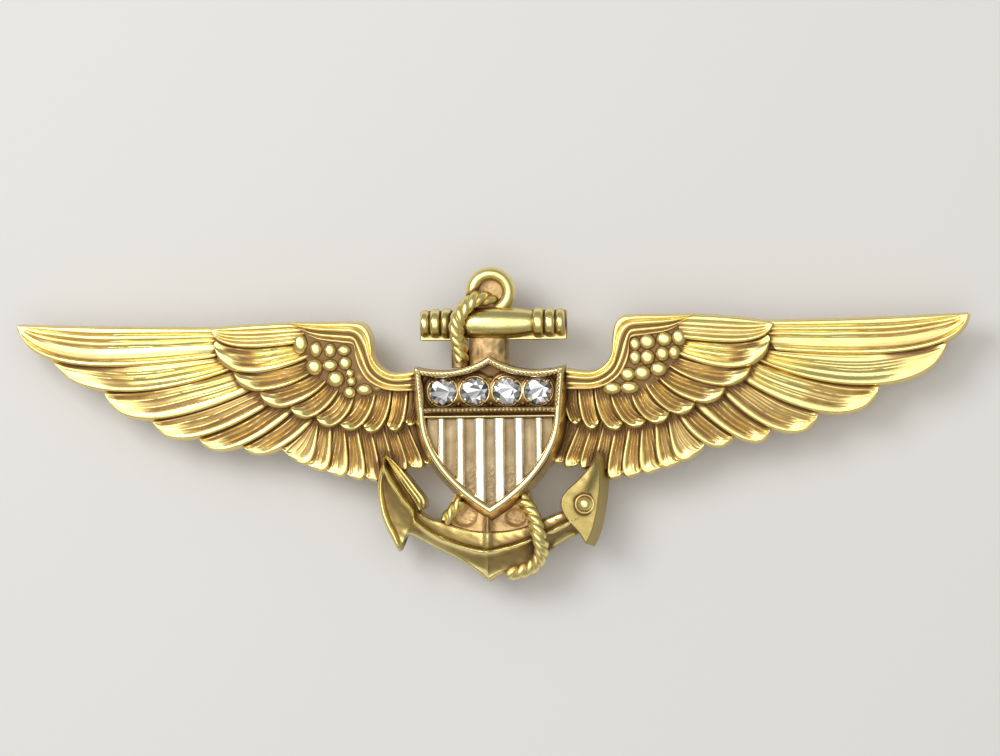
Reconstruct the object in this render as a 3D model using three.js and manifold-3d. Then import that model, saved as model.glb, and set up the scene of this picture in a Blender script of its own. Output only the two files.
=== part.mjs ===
// A pilot's breast badge: two struck wings on a fouled anchor, a shield with four stones over the middle, and a hinged
// pin with a turning safety catch at the back. Millimetres. The front faces +Z, the wings spread along X and the
// anchor's ring is at +Y. The badge lies on its fittings, and the origin is on that surface, under its middle.
import * as THREE from "three";
import { mergeVertices } from "three/addons/utils/BufferGeometryUtils.js";
import Module from "manifold-3d";

const wasm = await Module();
wasm.setup();

// ---------------------------------------------------------------- driving dimensions

const HALF_SPAN = 35; // middle of the badge to a wing tip
const HALF_HEIGHT = 11.56; // middle to the top of the ring, and to the point of the crown
const GAP = 0.06; // left between pieces that are soldered, set or riveted to each other
const BACK = 3.4; // height of the flat back above the surface that the fittings stand on

// Heights above the flat back.
const ROOT_TOP = 1.1; // what lies behind the shield: the wings' roots, the shank and the web
const SHEET_TOP = 1.05; // the wing's ground between its feathers
const QUILL_TOP = 1.5; // first long feather
const QUILL_STEP = 0.05; // each feather after it is this much lower
const SHORT_TOP = 1.25; // first short feather
const COVERT_TOP = 1.85;
const TUCK = 0.3; // how far a feather's root runs under the one before it
const SCALE = { r: 0.46, top: 2.1 };
const ARM_EDGE_TOP = 1.5;
const ARM_RIDGE_TOP = 2.1;

const SHIELD = { x: -0.2, halfWidth: 5.5, bottom: ROOT_TOP + GAP, pan: 1.6, top: 3.2, rim: 0.5 };
const POCKET = { chief: 1.25, field: 0.5 }; // edges of the bar between the stones and the stripes
const STRIPE = { pitch: 1.43, width: 0.66, count: 6, floor: 2.4, top: 2.9 };
const STONE = { count: 4, r: 1.04, pitch: 2.4, y: 2.38, girdle: 2.5, edge: 0.08, crown: 0.36, table: 0.6, depth: 0.75 };
const BEAD = { r: 0.24, offset: 0.92 };

const STOCK = { y: 7.45, axis: 1.3, slab: 1.2 };
const RING = { x: -0.15, r: 1.39, wire: 0.42, axis: 1.1, floor: 0.9 };
const CABLE_R = 0.42;
const PALM = { top: 2.4, rivetX: 6.75, rivetY: -5.9 };

const PIN = { y: 1.9, z: 1.6, r: 0.45, hingeX: -19, catchX: 19, tipX: 22.4, taper: 4 };
const EAR = { inner: 1.3, outer: 2.0, front: 1.3, back: -1.6 };
const WEB_THICKNESS = 0.4; // bracket's end wall, which stops the open pin
const RIVET = { r: 0.4, clearance: 0.05, headR: 0.66, headLength: 0.3 };
const KNUCKLE_R = 0.95;
const FITTING_BASE = 0.45; // thickness of each fitting's soldered base
const CATCH = { halfLength: 1.5, cheek: 0.7, halfWidth: 1.9, boreR: 1.0, slot: 1.15, corner: 0.6 };
const ROTOR = { hubR: 0.95, boreR: 0.6, flangeR: 1.2, tabR: 2.6, tabWidth: 0.75, tabAngle: 75 };

const CURVE = 6; // divisions of one curved stroke
const ROUND = 24; // sides of a small round
const FAR = 9; // past everything, for cutting

// ---------------------------------------------------------------- materials

const metal = (color, roughness) => new THREE.MeshStandardMaterial({ color, roughness, metalness: 1 });
const BRIGHT_GOLD = () => metal(0xd9b45a, 0.25);
const ANTIQUE_GOLD = () => metal(0xc39a55, 0.4);
const FITTING_GOLD = () => metal(0xc8a45c, 0.35);
const DIAMOND = () => new THREE.MeshStandardMaterial({ color: 0xe6ebee, roughness: 0.05, metalness: 0 });

// ---------------------------------------------------------------- solids

/** A closed three.js geometry as a solid. */
function solid(geometry) {
  geometry.deleteAttribute("normal");
  geometry.deleteAttribute("uv");
  const merged = mergeVertices(geometry, 1e-4);
  return new wasm.Manifold(
    new wasm.Mesh({
      numProp: 3,
      vertProperties: merged.attributes.position.array,
      triVerts: new Uint32Array(merged.index.array),
    }),
  );
}

const joined = (solids) => solids.reduce((all, one) => all.add(one));

/** A flat outline from its first point and its strokes: two numbers are a straight one, six are a curve. */
function outline([startX, startY], strokes, side = 1) {
  const shape = new THREE.Shape().moveTo(side * startX, startY);
  const placed = strokes.map((stroke) => stroke.map((value, i) => (i % 2 ? value : side * value)));
  placed.forEach((s) => (s.length === 2 ? shape.lineTo(...s) : shape.bezierCurveTo(...s)));
  return shape;
}

/** The same outline with its edge moved outwards, or inwards where the distance is negative. */
function grown(shape, distance) {
  const points = shape.getPoints(CURVE);
  if (points[0].distanceTo(points.at(-1)) < 1e-6) points.pop();
  if (THREE.ShapeUtils.isClockWise(points)) points.reverse();
  const outward = (from, to) => new THREE.Vector2(to.y - from.y, from.x - to.x).normalize();
  const moved = points.map((point, i) => {
    const before = outward(points.at(i - 1), point);
    const after = outward(point, points[(i + 1) % points.length]);
    const middle = before.clone().add(after).normalize();
    return point.clone().addScaledVector(middle, distance / Math.max(middle.dot(before), 0.5));
  });
  return new THREE.Shape(moved);
}

/** A flat outline raised from z0 to z1. */
function plate(shape, z0, z1) {
  const options = { depth: z1 - z0, bevelEnabled: false, curveSegments: CURVE };
  return solid(new THREE.ExtrudeGeometry(shape, options).translate(0, 0, z0));
}

/** A box between two corners. */
function block([x0, y0, z0], [x1, y1, z1]) {
  const box = new THREE.BoxGeometry(x1 - x0, y1 - y0, z1 - z0);
  return solid(box.translate((x0 + x1) / 2, (y0 + y1) / 2, (z0 + z1) / 2));
}

/** A round rod along "x", "y" or "z", centred at a place. */
function rod(axis, r, length, [x, y, z], sides = ROUND) {
  const cylinder = new THREE.CylinderGeometry(r, r, length, sides);
  if (axis === "x") cylinder.rotateZ(Math.PI / 2);
  if (axis === "z") cylinder.rotateX(Math.PI / 2);
  return solid(cylinder.translate(x, y, z));
}

/** A solid of revolution about Y, from [radius, height] pairs that start and end on the axis, lowest first. */
const lathe = (profile, sides) => new THREE.LatheGeometry(profile.map((pair) => new THREE.Vector2(...pair)), sides);

/** A round rod of radius r along a smooth line through points. */
function cable(points, r, steps) {
  const section = new THREE.Shape().absarc(0, 0, r, 0, 2 * Math.PI);
  const path = new THREE.CatmullRomCurve3(points.map((point) => new THREE.Vector3(...point)));
  return solid(new THREE.ExtrudeGeometry(section, { steps, extrudePath: path, curveSegments: 5 }));
}

/** A solid as a named mesh. */
function mesh(name, made, material) {
  const { vertProperties, triVerts } = made.getMesh();
  const geometry = new THREE.BufferGeometry();
  geometry.setAttribute("position", new THREE.BufferAttribute(vertProperties, 3));
  geometry.setIndex(new THREE.BufferAttribute(triVerts, 1));
  const named = new THREE.Mesh(geometry, material());
  named.name = name;
  return named;
}

// ---------------------------------------------------------------- shield

const SHIELD_OUTLINE = outline(
  [SHIELD.x, 4.95],
  [
    [-1.4, 4.1, -3.4, 3.95, SHIELD.x - SHIELD.halfWidth, 4.3],
    [SHIELD.x - SHIELD.halfWidth + 0.3, 0.5],
    [-5.3, -2.3, -3.0, -4.9, SHIELD.x, -6.6],
    [2.6, -4.9, 4.9, -2.3, SHIELD.x + SHIELD.halfWidth - 0.3, 0.5],
    [SHIELD.x + SHIELD.halfWidth, 4.3],
    [3.0, 3.95, 1.0, 4.1, SHIELD.x, 4.95],
  ],
);

/** What fits inside the rim between two heights on the shield, from a floor up. */
function pocket(inset, yLow, yHigh, floor) {
  return plate(grown(SHIELD_OUTLINE, -inset), floor, FAR).intersect(block([-FAR, yLow, 0], [FAR, yHigh, FAR]));
}

/** A pan with a rim all round and a bar between the stones and the stripes. */
function shieldFrame() {
  return plate(SHIELD_OUTLINE, SHIELD.bottom, SHIELD.top)
    .subtract(pocket(SHIELD.rim, POCKET.chief, FAR, SHIELD.pan))
    .subtract(pocket(SHIELD.rim, -FAR, POCKET.field, SHIELD.pan));
}

/** A plate with upright raised stripes, dropped into the lower pocket. */
function stripePlate() {
  const stripes = Array.from({ length: STRIPE.count }, (_, i) => {
    const x = SHIELD.x + (i - (STRIPE.count - 1) / 2) * STRIPE.pitch;
    return block([x - STRIPE.width / 2, -FAR, SHIELD.pan], [x + STRIPE.width / 2, FAR, STRIPE.top]);
  });
  const floor = block([-FAR, -FAR, 0], [FAR, FAR, STRIPE.floor]);
  return joined([floor, ...stripes]).intersect(
    pocket(SHIELD.rim + GAP, -FAR, POCKET.field - GAP, SHIELD.pan + GAP),
  );
}

const stoneX = (i) => SHIELD.x + (i - (STONE.count - 1) / 2) * STONE.pitch;

/** One round stone with its table up, grown all round where it cuts its seat. */
function stone(i, grow = 0) {
  const { r, girdle, edge, crown, table, depth } = STONE;
  const crownTop = girdle + edge + crown + grow;
  const profile = [
    [0, girdle - depth - grow],
    [r + grow, girdle],
    [r + grow, girdle + edge],
    [table + grow, crownTop],
    [0, crownTop],
  ];
  return solid(lathe(profile, 16).rotateX(Math.PI / 2).translate(stoneX(i), STONE.y, 0));
}

/** The plate that holds the stones: an open seat for each, and beads raised between them. */
function stonePlate() {
  const top = STONE.girdle + STONE.edge;
  let made = pocket(SHIELD.rim + GAP, POCKET.chief + GAP, FAR, SHIELD.pan + GAP).intersect(
    block([-FAR, 0, 0], [FAR, FAR, top]),
  );
  for (let i = 0; i < STONE.count; i++) {
    made = made.subtract(stone(i, GAP)).subtract(rod("z", 0.6, 2, [stoneX(i), STONE.y, SHIELD.pan], 12));
  }
  for (let i = 0; i < STONE.count - 1; i++) {
    for (const side of [-1, 1]) {
      const bead = new THREE.SphereGeometry(BEAD.r, 8, 6);
      const middle = stoneX(i) + STONE.pitch / 2;
      made = made.add(solid(bead.translate(middle, STONE.y + side * BEAD.offset, top)));
    }
  }
  return made;
}

// ---------------------------------------------------------------- anchor

const ARMS = outline(
  [-8.1, -2.1],
  [
    [-9.1, -4.8, -8.6, -7.5, -7.1, -9.1],
    [-7.0, -8.5, -6.8, -8.0, -6.2, -8.0],
    [-4.4, -8.9, -2.0, -9.9, -0.9, -11.0],
    [-0.35, -HALF_HEIGHT],
    [0.25, -11.0],
    [1.5, -9.9, 4.0, -9.0, 6.6, -7.9],
    [7.2, -6.0],
    [5.6, -6.7, 4.6, -7.0, 3.8, -7.0],
    [2.0, -7.9, -2.0, -7.9, -3.9, -7.1],
    [-4.4, -7.1, -4.9, -6.8, -5.2, -6.3],
    [-5.1, -5.5],
    [-6.4, -4.1, -7.4, -3.0, -8.1, -2.1],
  ],
);
const ARM_RIDGE = outline(
  [-8.0, -2.9],
  [
    [-8.5, -5.0, -7.4, -8.2, -0.5, -9.9],
    [3.0, -9.1, 5.0, -8.3, 6.2, -7.4],
    [4.5, -7.5, 2.0, -8.4, -0.5, -8.8],
    [-5.0, -8.0, -6.6, -6.2, -8.0, -2.9],
  ],
);
const WEB = outline([-3.9, -7.3], [[-2.9, -4.6], [2.6, -4.6], [3.7, -7.3], [0, -9]]);
const SHANK = outline([-1.25, 6.1], [[1.05, 6.1], [1.05, -5.2], [-1.25, -5.2]]);
const PALM_OUTLINE = outline(
  [7.8, -2.15],
  [
    [6.9, -3.4, 5.2, -4.4, 4.95, -5.7],
    [5.2, -6.5, 6.0, -7.4, 6.75, -8.95],
    [8.0, -7.6, 8.7, -4.6, 7.8, -2.15],
  ],
);

// The cable, from the ring's eye over the stock, and its two ends that come out from under the shield.
const CABLE_UPPER = [
  [0.0, 9.5, 1.45], [-0.8, 9.35, 2.1], [-1.7, 8.9, 2.6], [-2.35, 8.1, 2.95], [-2.6, 7.2, 2.95],
  [-2.55, 6.3, 2.5], [-2.4, 5.5, 1.9], [-2.3, 4.75, 1.5],
];
const CABLE_RIGHT = [
  [2.0, -5.45, 1.6], [2.7, -6.4, 1.95], [3.1, -7.4, 2.35], [3.35, -8.3, 2.5], [3.5, -9.1, 2.0],
  [3.3, -9.9, 1.4], [2.7, -10.5, 1.0], [1.8, -10.85, 0.85], [0.9, -10.95, 0.8],
];
const CABLE_LEFT = [[-2.4, -5.6, 1.6], [-3.1, -6.4, 1.6], [-3.65, -7.1, 1.65]];
const upperCable = (grow = 0) => cable(CABLE_UPPER, CABLE_R + grow, 28);
const rightCable = (grow = 0) => cable(CABLE_RIGHT, CABLE_R + grow, 28);
const leftCable = (grow = 0) => cable(CABLE_LEFT, CABLE_R - 0.06 + grow, 6);

/** Shank, web, arms and left fluke, struck in one piece and grooved where the cable lies on it. */
function anchorBody() {
  return joined([
    plate(SHANK, 0, ROOT_TOP),
    plate(WEB, 0, ROOT_TOP),
    plate(ARMS, 0, ARM_EDGE_TOP),
    plate(ARM_RIDGE, 0, ARM_RIDGE_TOP),
  ])
    .subtract(plate(grown(PALM_OUTLINE, GAP), -FAR, FAR))
    .subtract(rightCable(GAP))
    .subtract(leftCable(GAP));
}

/** The right fluke's palm, bored for its rivet. */
function rightPalm() {
  return plate(PALM_OUTLINE, 0, PALM.top).subtract(rod("z", 0.3 + GAP, FAR, [PALM.rivetX, PALM.rivetY, 0], 16));
}

/** The palm's rivet: a domed head on a shank that goes through. */
function palmRivet() {
  const seat = PALM.top + GAP;
  const profile = [
    [0, 0.3], [0.3, 0.3], [0.3, seat], [0.72, seat], [0.72, seat + 0.14], [0.5, seat + 0.18],
    [0.36, seat + 0.48], [0, seat + 0.6],
  ];
  return solid(lathe(profile, 16).rotateX(Math.PI / 2).translate(PALM.rivetX, PALM.rivetY, 0));
}

/** The stock: a half-round bar on a slab, with turned bands at both ends. */
function stock(grow = 0) {
  const half = [
    [1.12, 2.9], [0.98, 3.0], [1.1, 3.1], [1.1, 3.7], [0.94, 3.85], [1.08, 4.0], [1.08, 4.55], [0.94, 4.7],
    [1.04, 4.85], [1.04, 5.4],
  ];
  const away = ([r, h], sign) => [r + grow, sign * (h + grow)];
  const profile = [
    [0, -5.4 - grow],
    ...half.map((pair) => away(pair, -1)).reverse(),
    [1.15 + grow, 0],
    ...half.map((pair) => away(pair, 1)),
    [0, 5.4 + grow],
  ];
  const bar = lathe(profile, 20).rotateZ(Math.PI / 2).translate(0, STOCK.y, STOCK.axis);
  const upperHalf = block([-FAR, 0, STOCK.axis - 0.6], [FAR, 2 * FAR, FAR]);
  const halfSlab = STOCK.slab + grow;
  const slab = block([-5.4 - grow, STOCK.y - halfSlab, 0], [5.4 + grow, STOCK.y + halfSlab, STOCK.axis - 0.4]);
  return solid(bar).intersect(upperHalf).add(slab);
}

/** The ring at the anchor's head, its eye closed by a sunk floor. */
function ring() {
  const y = HALF_HEIGHT - RING.r - RING.wire;
  const wire = new THREE.TorusGeometry(RING.r, RING.wire, 10, 28).translate(RING.x, y, RING.axis);
  const skirt = rod("z", RING.r + 0.15, RING.floor, [RING.x, y, RING.floor / 2], 20);
  return solid(wire).add(skirt).subtract(stock(GAP)).subtract(upperCable(GAP));
}

// ---------------------------------------------------------------- wings

// Each feather is given by the free edge that it shows: its root, two handles and its tip, as distances out from the
// badge's middle and up. The rest of it lies under the feather before it.
const LONG_QUILLS_LEFT = [
  [20.4, 5.15, 26.5, 4.3, 34.2, 3.6, HALF_SPAN, 7.65],
  [19.3, 4.1, 23.5, 2.2, 30.6, 1.6, 32.2, 4.75],
  [17.9, 2.55, 21.0, 1.0, 27.3, -1.0, 28.4, 2.3],
  [17.0, 1.2, 19.2, -0.3, 23.8, -2.2, 24.9, 0.25],
  [15.3, 0.5, 16.8, -0.9, 20.4, -2.9, 21.5, -1.05],
  [13.7, -0.2, 14.8, -1.5, 17.2, -2.7, 18.3, -1.6],
];
const LONG_QUILLS_RIGHT = [
  [20.9, 5.2, 26.5, 4.6, 34.6, 4.3, HALF_SPAN, 7.75],
  [20.0, 4.1, 24.0, 1.7, 32.4, 1.6, 33.2, 5.4],
  [19.0, 2.6, 22.3, 0.2, 27.3, -0.6, 28.2, 2.1],
  [17.0, 1.9, 18.6, -0.2, 22.6, -2.2, 23.7, 0.1],
  [15.0, 1.0, 16.6, -0.7, 19.6, -2.7, 20.2, -0.9],
  [13.6, 0.4, 14.2, -1.2, 16.6, -2.7, 17.5, -1.2],
];
const SHORT_QUILLS = [
  [12.9, -0.2, 13.1, -1.5, 12.9, -4.3, 15.4, -1.8],
  [11.9, -0.3, 12.1, -1.6, 11.4, -4.4, 13.7, -2.8],
  [10.9, -0.5, 10.9, -1.8, 9.9, -4.8, 12.3, -3.25],
  [9.9, -0.5, 9.8, -1.8, 8.5, -5.0, 10.7, -3.6],
  [8.9, -0.6, 8.7, -1.9, 7.5, -5.0, 9.3, -3.8],
  [8.0, -0.5, 7.8, -1.6, 6.5, -4.2, 8.2, -3.4],
  [7.1, -0.4, 6.9, -1.5, 5.5, -4.0, 7.1, -3.1],
  [6.2, -0.3, 5.9, -1.4, 4.2, -3.8, 6.0, -3.05],
];
const COVERTS = [
  [14.6, 6.05, 16.9, 5.8, 20.1, 5.4, 20.7, 7.2],
  [13.9, 4.9, 16.0, 3.7, 20.2, 3.0, 20.4, 6.05],
  [13.3, 4.0, 14.7, 2.75, 18.7, 1.75, 19.0, 4.1],
  [12.4, 3.2, 13.2, 1.9, 16.8, 0.4, 17.1, 2.6],
  [11.4, 2.55, 12.0, 0.95, 14.4, -0.4, 14.9, 1.5],
  [10.2, 2.1, 10.3, 0.35, 12.5, -1.05, 13.0, 0.75],
  [8.6, 2.25, 8.7, 0.25, 10.7, -1.3, 11.3, 0.3],
  [7.2, 2.35, 7.2, 0.1, 9.0, -1.4, 9.5, -0.05],
  [6.3, 2.4, 6.15, 0.2, 7.1, -1.2, 7.7, -0.05],
];
const SCALES = [
  [14.0, 6.2], [12.9, 5.85], [11.8, 5.8], [10.7, 5.75],
  [13.1, 4.75], [12.0, 4.65], [10.9, 4.65],
  [11.6, 3.55], [10.5, 3.6],
  [10.3, 2.6], [9.3, 2.7],
];

/** The shoulder's free edge, from the quills' upper edge round to the shield. */
const shoulder = (top) => [
  [14.2, top], [10.0, top],
  [9.2, top, 8.8, 6.9, 8.8, 6.0],
  [8.75, 4.6, 7.9, 3.85, 6.1, 3.8],
];

/** A row of feathers as prisms, each one a step lower than the one before. */
function feathers(edges, firstBack, top, step, side) {
  return edges.map(([rootX, rootY, ...free], i) => {
    const [backX, backY] = i ? edges[i - 1] : firstBack;
    return plate(outline([rootX, rootY], [free, [backX - TUCK, backY + TUCK]], side), 0, top - i * step);
  });
}

/** What the anchor's flukes take out of a wing. */
const flukeNotch = joined(
  [ARMS, PALM_OUTLINE].map((shape) => plate(grown(shape, GAP), -FAR, FAR)),
);

/** One wing with its root that runs under the shield. Side is 1 for the right one and -1 for the left one. */
function wing(longQuills, top, side) {
  const sheet = outline(
    [20.7, 7.35],
    [...shoulder(top), [6.1, -0.9], [8.9, -1.0], [12.8, -0.7], [15.6, 0.1], [17.3, 0.9], [19.3, 2.3], [20.8, 4.9]],
    side,
  );
  const covertSheet = outline(
    [18.0, 7.4],
    [...shoulder(top), [6.1, 2.05], [8.8, 2.0], [10.4, 1.85], [12.6, 2.95], [14.8, 5.9]],
    side,
  );
  const edgeBand = outline(
    [14.2, top],
    [...shoulder(top).slice(1), [6.1, 2.75], [8.6, 2.8, 10.0, 4.0, 10.0, 6.4], [14.2, 7.0]],
    side,
  );
  const [rootX, rootY, ...firstFree] = longQuills[0];
  const firstQuill = outline([rootX, rootY], [firstFree, [31, 7.38, 26, 7.3, 19.9, 7.35]], side);
  const scales = SCALES.map(([x, y]) =>
    solid(new THREE.SphereGeometry(SCALE.r, 8, 6).translate(side * x, y, SCALE.top - SCALE.r)),
  );
  const root = block([1.35, -2.6, 0], [6.8, 3.2, ROOT_TOP]);
  const leftRoot = block([-6.8, -2.6, 0], [-1.35, 3.2, ROOT_TOP]);
  return joined([
    plate(sheet, 0, SHEET_TOP),
    plate(firstQuill, 0, QUILL_TOP),
    ...feathers(longQuills.slice(1), longQuills[0], QUILL_TOP - QUILL_STEP, QUILL_STEP, side),
    ...feathers(SHORT_QUILLS, longQuills.at(-1), SHORT_TOP, 0.02, side),
    plate(covertSheet, 0, COVERT_TOP - 0.15),
    ...feathers(COVERTS, [18.0, 7.38], COVERT_TOP, 0.03, side),
    ...scales,
    plate(edgeBand, 0, SCALE.top),
  ])
    .subtract(plate(grown(SHIELD_OUTLINE, GAP), -FAR, FAR))
    .add(side > 0 ? root : leftRoot)
    .subtract(flukeNotch);
}

// ---------------------------------------------------------------- fittings at the back

const FITTING_TOP = BACK - GAP;

/** A flat outline drawn in X and Z, as a plate between two places along Y. */
function uprightPlate(shape, y0, y1) {
  const options = { depth: y1 - y0, bevelEnabled: false, curveSegments: CURVE };
  return solid(new THREE.ExtrudeGeometry(shape, options).rotateX(Math.PI / 2).translate(PIN.hingeX, y1, 0));
}

/** A flat outline drawn in Y and Z, as a plate between two places along X. */
function crossPlate(shape, x0, x1) {
  const options = { depth: x1 - x0, bevelEnabled: false, curveSegments: CURVE };
  const drawn = new THREE.ExtrudeGeometry(shape, options).rotateX(Math.PI / 2).rotateZ(Math.PI / 2);
  return solid(drawn.translate(x0, PIN.y, 0));
}

/** The hinge's bracket: a base, two ears with the rivet's holes, and an end wall that stops the open pin. */
function hingeBracket() {
  const { y, z, hingeX } = PIN;
  const { inner, outer, front, back } = EAR;
  const ear = outline(
    [back + 0.5, 0],
    [
      [front - 0.5, 0],
      [front, 0, front, 0.2, front, 0.6],
      [front, z + 0.8],
      [front, 2.7, 1.6, 2.9, 1.9, FITTING_TOP],
      [back, FITTING_TOP],
      [back, 0.6],
      [back, 0.2, back, 0, back + 0.5, 0],
    ],
  );
  const wallX = hingeX + back;
  return joined([
    uprightPlate(ear, y - outer, y - inner),
    uprightPlate(ear, y + inner, y + outer),
    block([wallX, y - outer, FITTING_TOP - FITTING_BASE], [hingeX + 1.9, y + outer, FITTING_TOP]),
    block([wallX, y - inner - 0.1, 0.25], [wallX + WEB_THICKNESS, y + inner + 0.1, FITTING_TOP]),
  ]).subtract(rod("y", RIVET.r + RIVET.clearance, FAR, [hingeX, y, z]));
}

/** The hinge's rivet: a shank with a head outside each ear. */
function hingeRivet() {
  const { y, z, hingeX } = PIN;
  const headY = EAR.outer + GAP + RIVET.headLength / 2;
  const head = (side) => rod("y", RIVET.headR, RIVET.headLength, [hingeX, y + side * headY, z]);
  return joined([rod("y", RIVET.r, 2 * headY, [hingeX, y, z]), head(1), head(-1)]);
}

/** The pin: a knuckle on the rivet and a long stem, tapered to a point past the catch. */
function pinStem() {
  const { y, z, r, hingeX, tipX, taper } = PIN;
  const length = tipX - hingeX;
  const profile = [[0, 0], [r, 0], [r, length - taper], [0.28, length - 0.8], [0.06, length], [0, length]];
  const stem = lathe(profile, 14).rotateZ(-Math.PI / 2).translate(hingeX, y, z);
  return solid(stem)
    .add(rod("y", KNUCKLE_R, 2 * (EAR.inner - GAP), [hingeX, y, z]))
    .subtract(rod("y", RIVET.r + RIVET.clearance, FAR, [hingeX, y, z]));
}

/** The slot that the stem goes through, from below up to the stem's own line. */
const stemSlot = () =>
  block([PIN.catchX - 3, PIN.y - CATCH.slot / 2, -1], [PIN.catchX + 3, PIN.y + CATCH.slot / 2, PIN.z]);

/** The catch's housing: a base and two cheeks, each bored for the rotor and slotted for the stem. */
function catchHousing() {
  const { y, z, catchX } = PIN;
  const { halfLength, cheek, halfWidth, boreR, corner } = CATCH;
  const wall = outline(
    [-halfWidth, FITTING_TOP],
    [
      [-halfWidth, corner],
      [-halfWidth, 0.2, 0.2 - halfWidth, 0, corner - halfWidth, 0],
      [halfWidth - corner, 0],
      [halfWidth - 0.2, 0, halfWidth, 0.2, halfWidth, corner],
      [halfWidth, FITTING_TOP],
    ],
  );
  const [x0, x1] = [catchX - halfLength, catchX + halfLength];
  return joined([
    crossPlate(wall, x0, x0 + cheek),
    crossPlate(wall, x1 - cheek, x1),
    block([x0, y - halfWidth, FITTING_TOP - FITTING_BASE], [x1, y + halfWidth, FITTING_TOP]),
  ])
    .subtract(rod("x", boreR, FAR, [catchX, y, z]))
    .subtract(stemSlot());
}

/** The catch's rotor: a slit sleeve held in the cheeks, with a thumb tab. The slit faces the mouth when open. */
function catchRotor() {
  const { y, z, catchX } = PIN;
  const { hubR, boreR, flangeR, tabR, tabWidth, tabAngle } = ROTOR;
  const between = 2 * (CATCH.halfLength - CATCH.cheek - GAP);
  const tab = new THREE.BoxGeometry(between, tabWidth, tabR - hubR)
    .translate(0, 0, -(tabR + hubR) / 2)
    .rotateX(THREE.MathUtils.degToRad(-tabAngle))
    .translate(catchX, y, z);
  return joined([
    rod("x", hubR, 2 * (CATCH.halfLength - GAP), [catchX, y, z]),
    rod("x", flangeR, between, [catchX, y, z]),
    solid(tab),
  ])
    .subtract(rod("x", boreR, FAR, [catchX, y, z]))
    .subtract(stemSlot());
}

// ---------------------------------------------------------------- assembly

const front = new THREE.Group();
front.position.z = BACK;
front.add(
  mesh("wing_left", wing(LONG_QUILLS_LEFT, 7.55, -1), BRIGHT_GOLD),
  mesh("wing_right", wing(LONG_QUILLS_RIGHT, 7.85, 1), BRIGHT_GOLD),
  mesh("anchor_body", anchorBody(), ANTIQUE_GOLD),
  mesh("right_palm", rightPalm(), ANTIQUE_GOLD),
  mesh("palm_rivet", palmRivet(), BRIGHT_GOLD),
  mesh("anchor_stock", stock(), ANTIQUE_GOLD),
  mesh("anchor_ring", ring(), BRIGHT_GOLD),
  mesh("cable_upper", upperCable(), BRIGHT_GOLD),
  mesh("cable_lower_right", rightCable(), BRIGHT_GOLD),
  mesh("cable_lower_left", leftCable(), BRIGHT_GOLD),
  mesh("shield_frame", shieldFrame(), BRIGHT_GOLD),
  mesh("stripe_plate", stripePlate(), BRIGHT_GOLD),
  mesh("stone_plate", stonePlate(), BRIGHT_GOLD),
);
for (let i = 0; i < STONE.count; i++) front.add(mesh(`stone_${i + 1}`, stone(i), DIAMOND));

const badge = new THREE.Group();
badge.add(
  front,
  mesh("hinge_bracket", hingeBracket(), FITTING_GOLD),
  mesh("hinge_rivet", hingeRivet(), FITTING_GOLD),
  mesh("pin_stem", pinStem(), FITTING_GOLD),
  mesh("catch_housing", catchHousing(), FITTING_GOLD),
  mesh("catch_rotor", catchRotor(), FITTING_GOLD),
);

export default badge;
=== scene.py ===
"""A pilot's breast badge in gold: wings on a fouled anchor, a stone-set shield and a pin at the back.

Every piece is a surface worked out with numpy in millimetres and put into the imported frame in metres. The
badge lies flat: X runs along the wings, Y towards the anchor's ring, and Z out of the front.
"""

from __future__ import annotations

import logging
import math
from collections.abc import Callable
from dataclasses import dataclass, field
from enum import Enum

import bpy
import numpy as np
from mathutils import Matrix, Vector

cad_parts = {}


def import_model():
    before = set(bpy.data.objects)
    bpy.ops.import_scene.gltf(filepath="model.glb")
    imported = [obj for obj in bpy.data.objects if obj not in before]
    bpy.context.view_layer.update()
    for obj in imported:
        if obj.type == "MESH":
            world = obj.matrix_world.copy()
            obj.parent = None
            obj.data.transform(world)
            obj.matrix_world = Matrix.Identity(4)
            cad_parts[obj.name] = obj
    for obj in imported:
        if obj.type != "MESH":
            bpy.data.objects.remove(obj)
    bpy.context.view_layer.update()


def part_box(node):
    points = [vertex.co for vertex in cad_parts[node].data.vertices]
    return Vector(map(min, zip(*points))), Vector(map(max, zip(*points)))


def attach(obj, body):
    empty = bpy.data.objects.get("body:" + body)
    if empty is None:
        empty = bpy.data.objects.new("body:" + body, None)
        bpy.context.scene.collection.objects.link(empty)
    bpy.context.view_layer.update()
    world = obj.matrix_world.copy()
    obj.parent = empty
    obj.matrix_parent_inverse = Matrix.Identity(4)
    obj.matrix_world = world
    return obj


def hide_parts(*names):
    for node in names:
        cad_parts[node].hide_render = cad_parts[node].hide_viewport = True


LOG = logging.getLogger("badge")
MM = 0.001
Array = np.ndarray
Heights = Callable[[Array, Array, Array], Array]
Tree = bpy.types.NodeTree
Socket = bpy.types.NodeSocket


# ------------------------------------------------------------------ small formulas


def smoothstep(low: float, high: float, value: Array) -> Array:
    """A smooth rise from 0 at low to 1 at high."""
    t = np.clip((value - low) / (high - low), 0.0, 1.0)
    return t * t * (3.0 - 2.0 * t)


def bezier(handles: Array, t: Array) -> Array:
    """Points of a cubic curve.

    Args:
        handles: Four points, shape (4, k).
        t: Parameters from 0 to 1.

    Returns:
        The curve's points, shape (len(t), k).
    """
    t = np.asarray(t)[:, None]
    a, b, c, d = (np.asarray(handle, float) for handle in handles)
    return (1 - t) ** 3 * a + 3 * t * (1 - t) ** 2 * b + 3 * t * t * (1 - t) * c + t**3 * d


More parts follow.
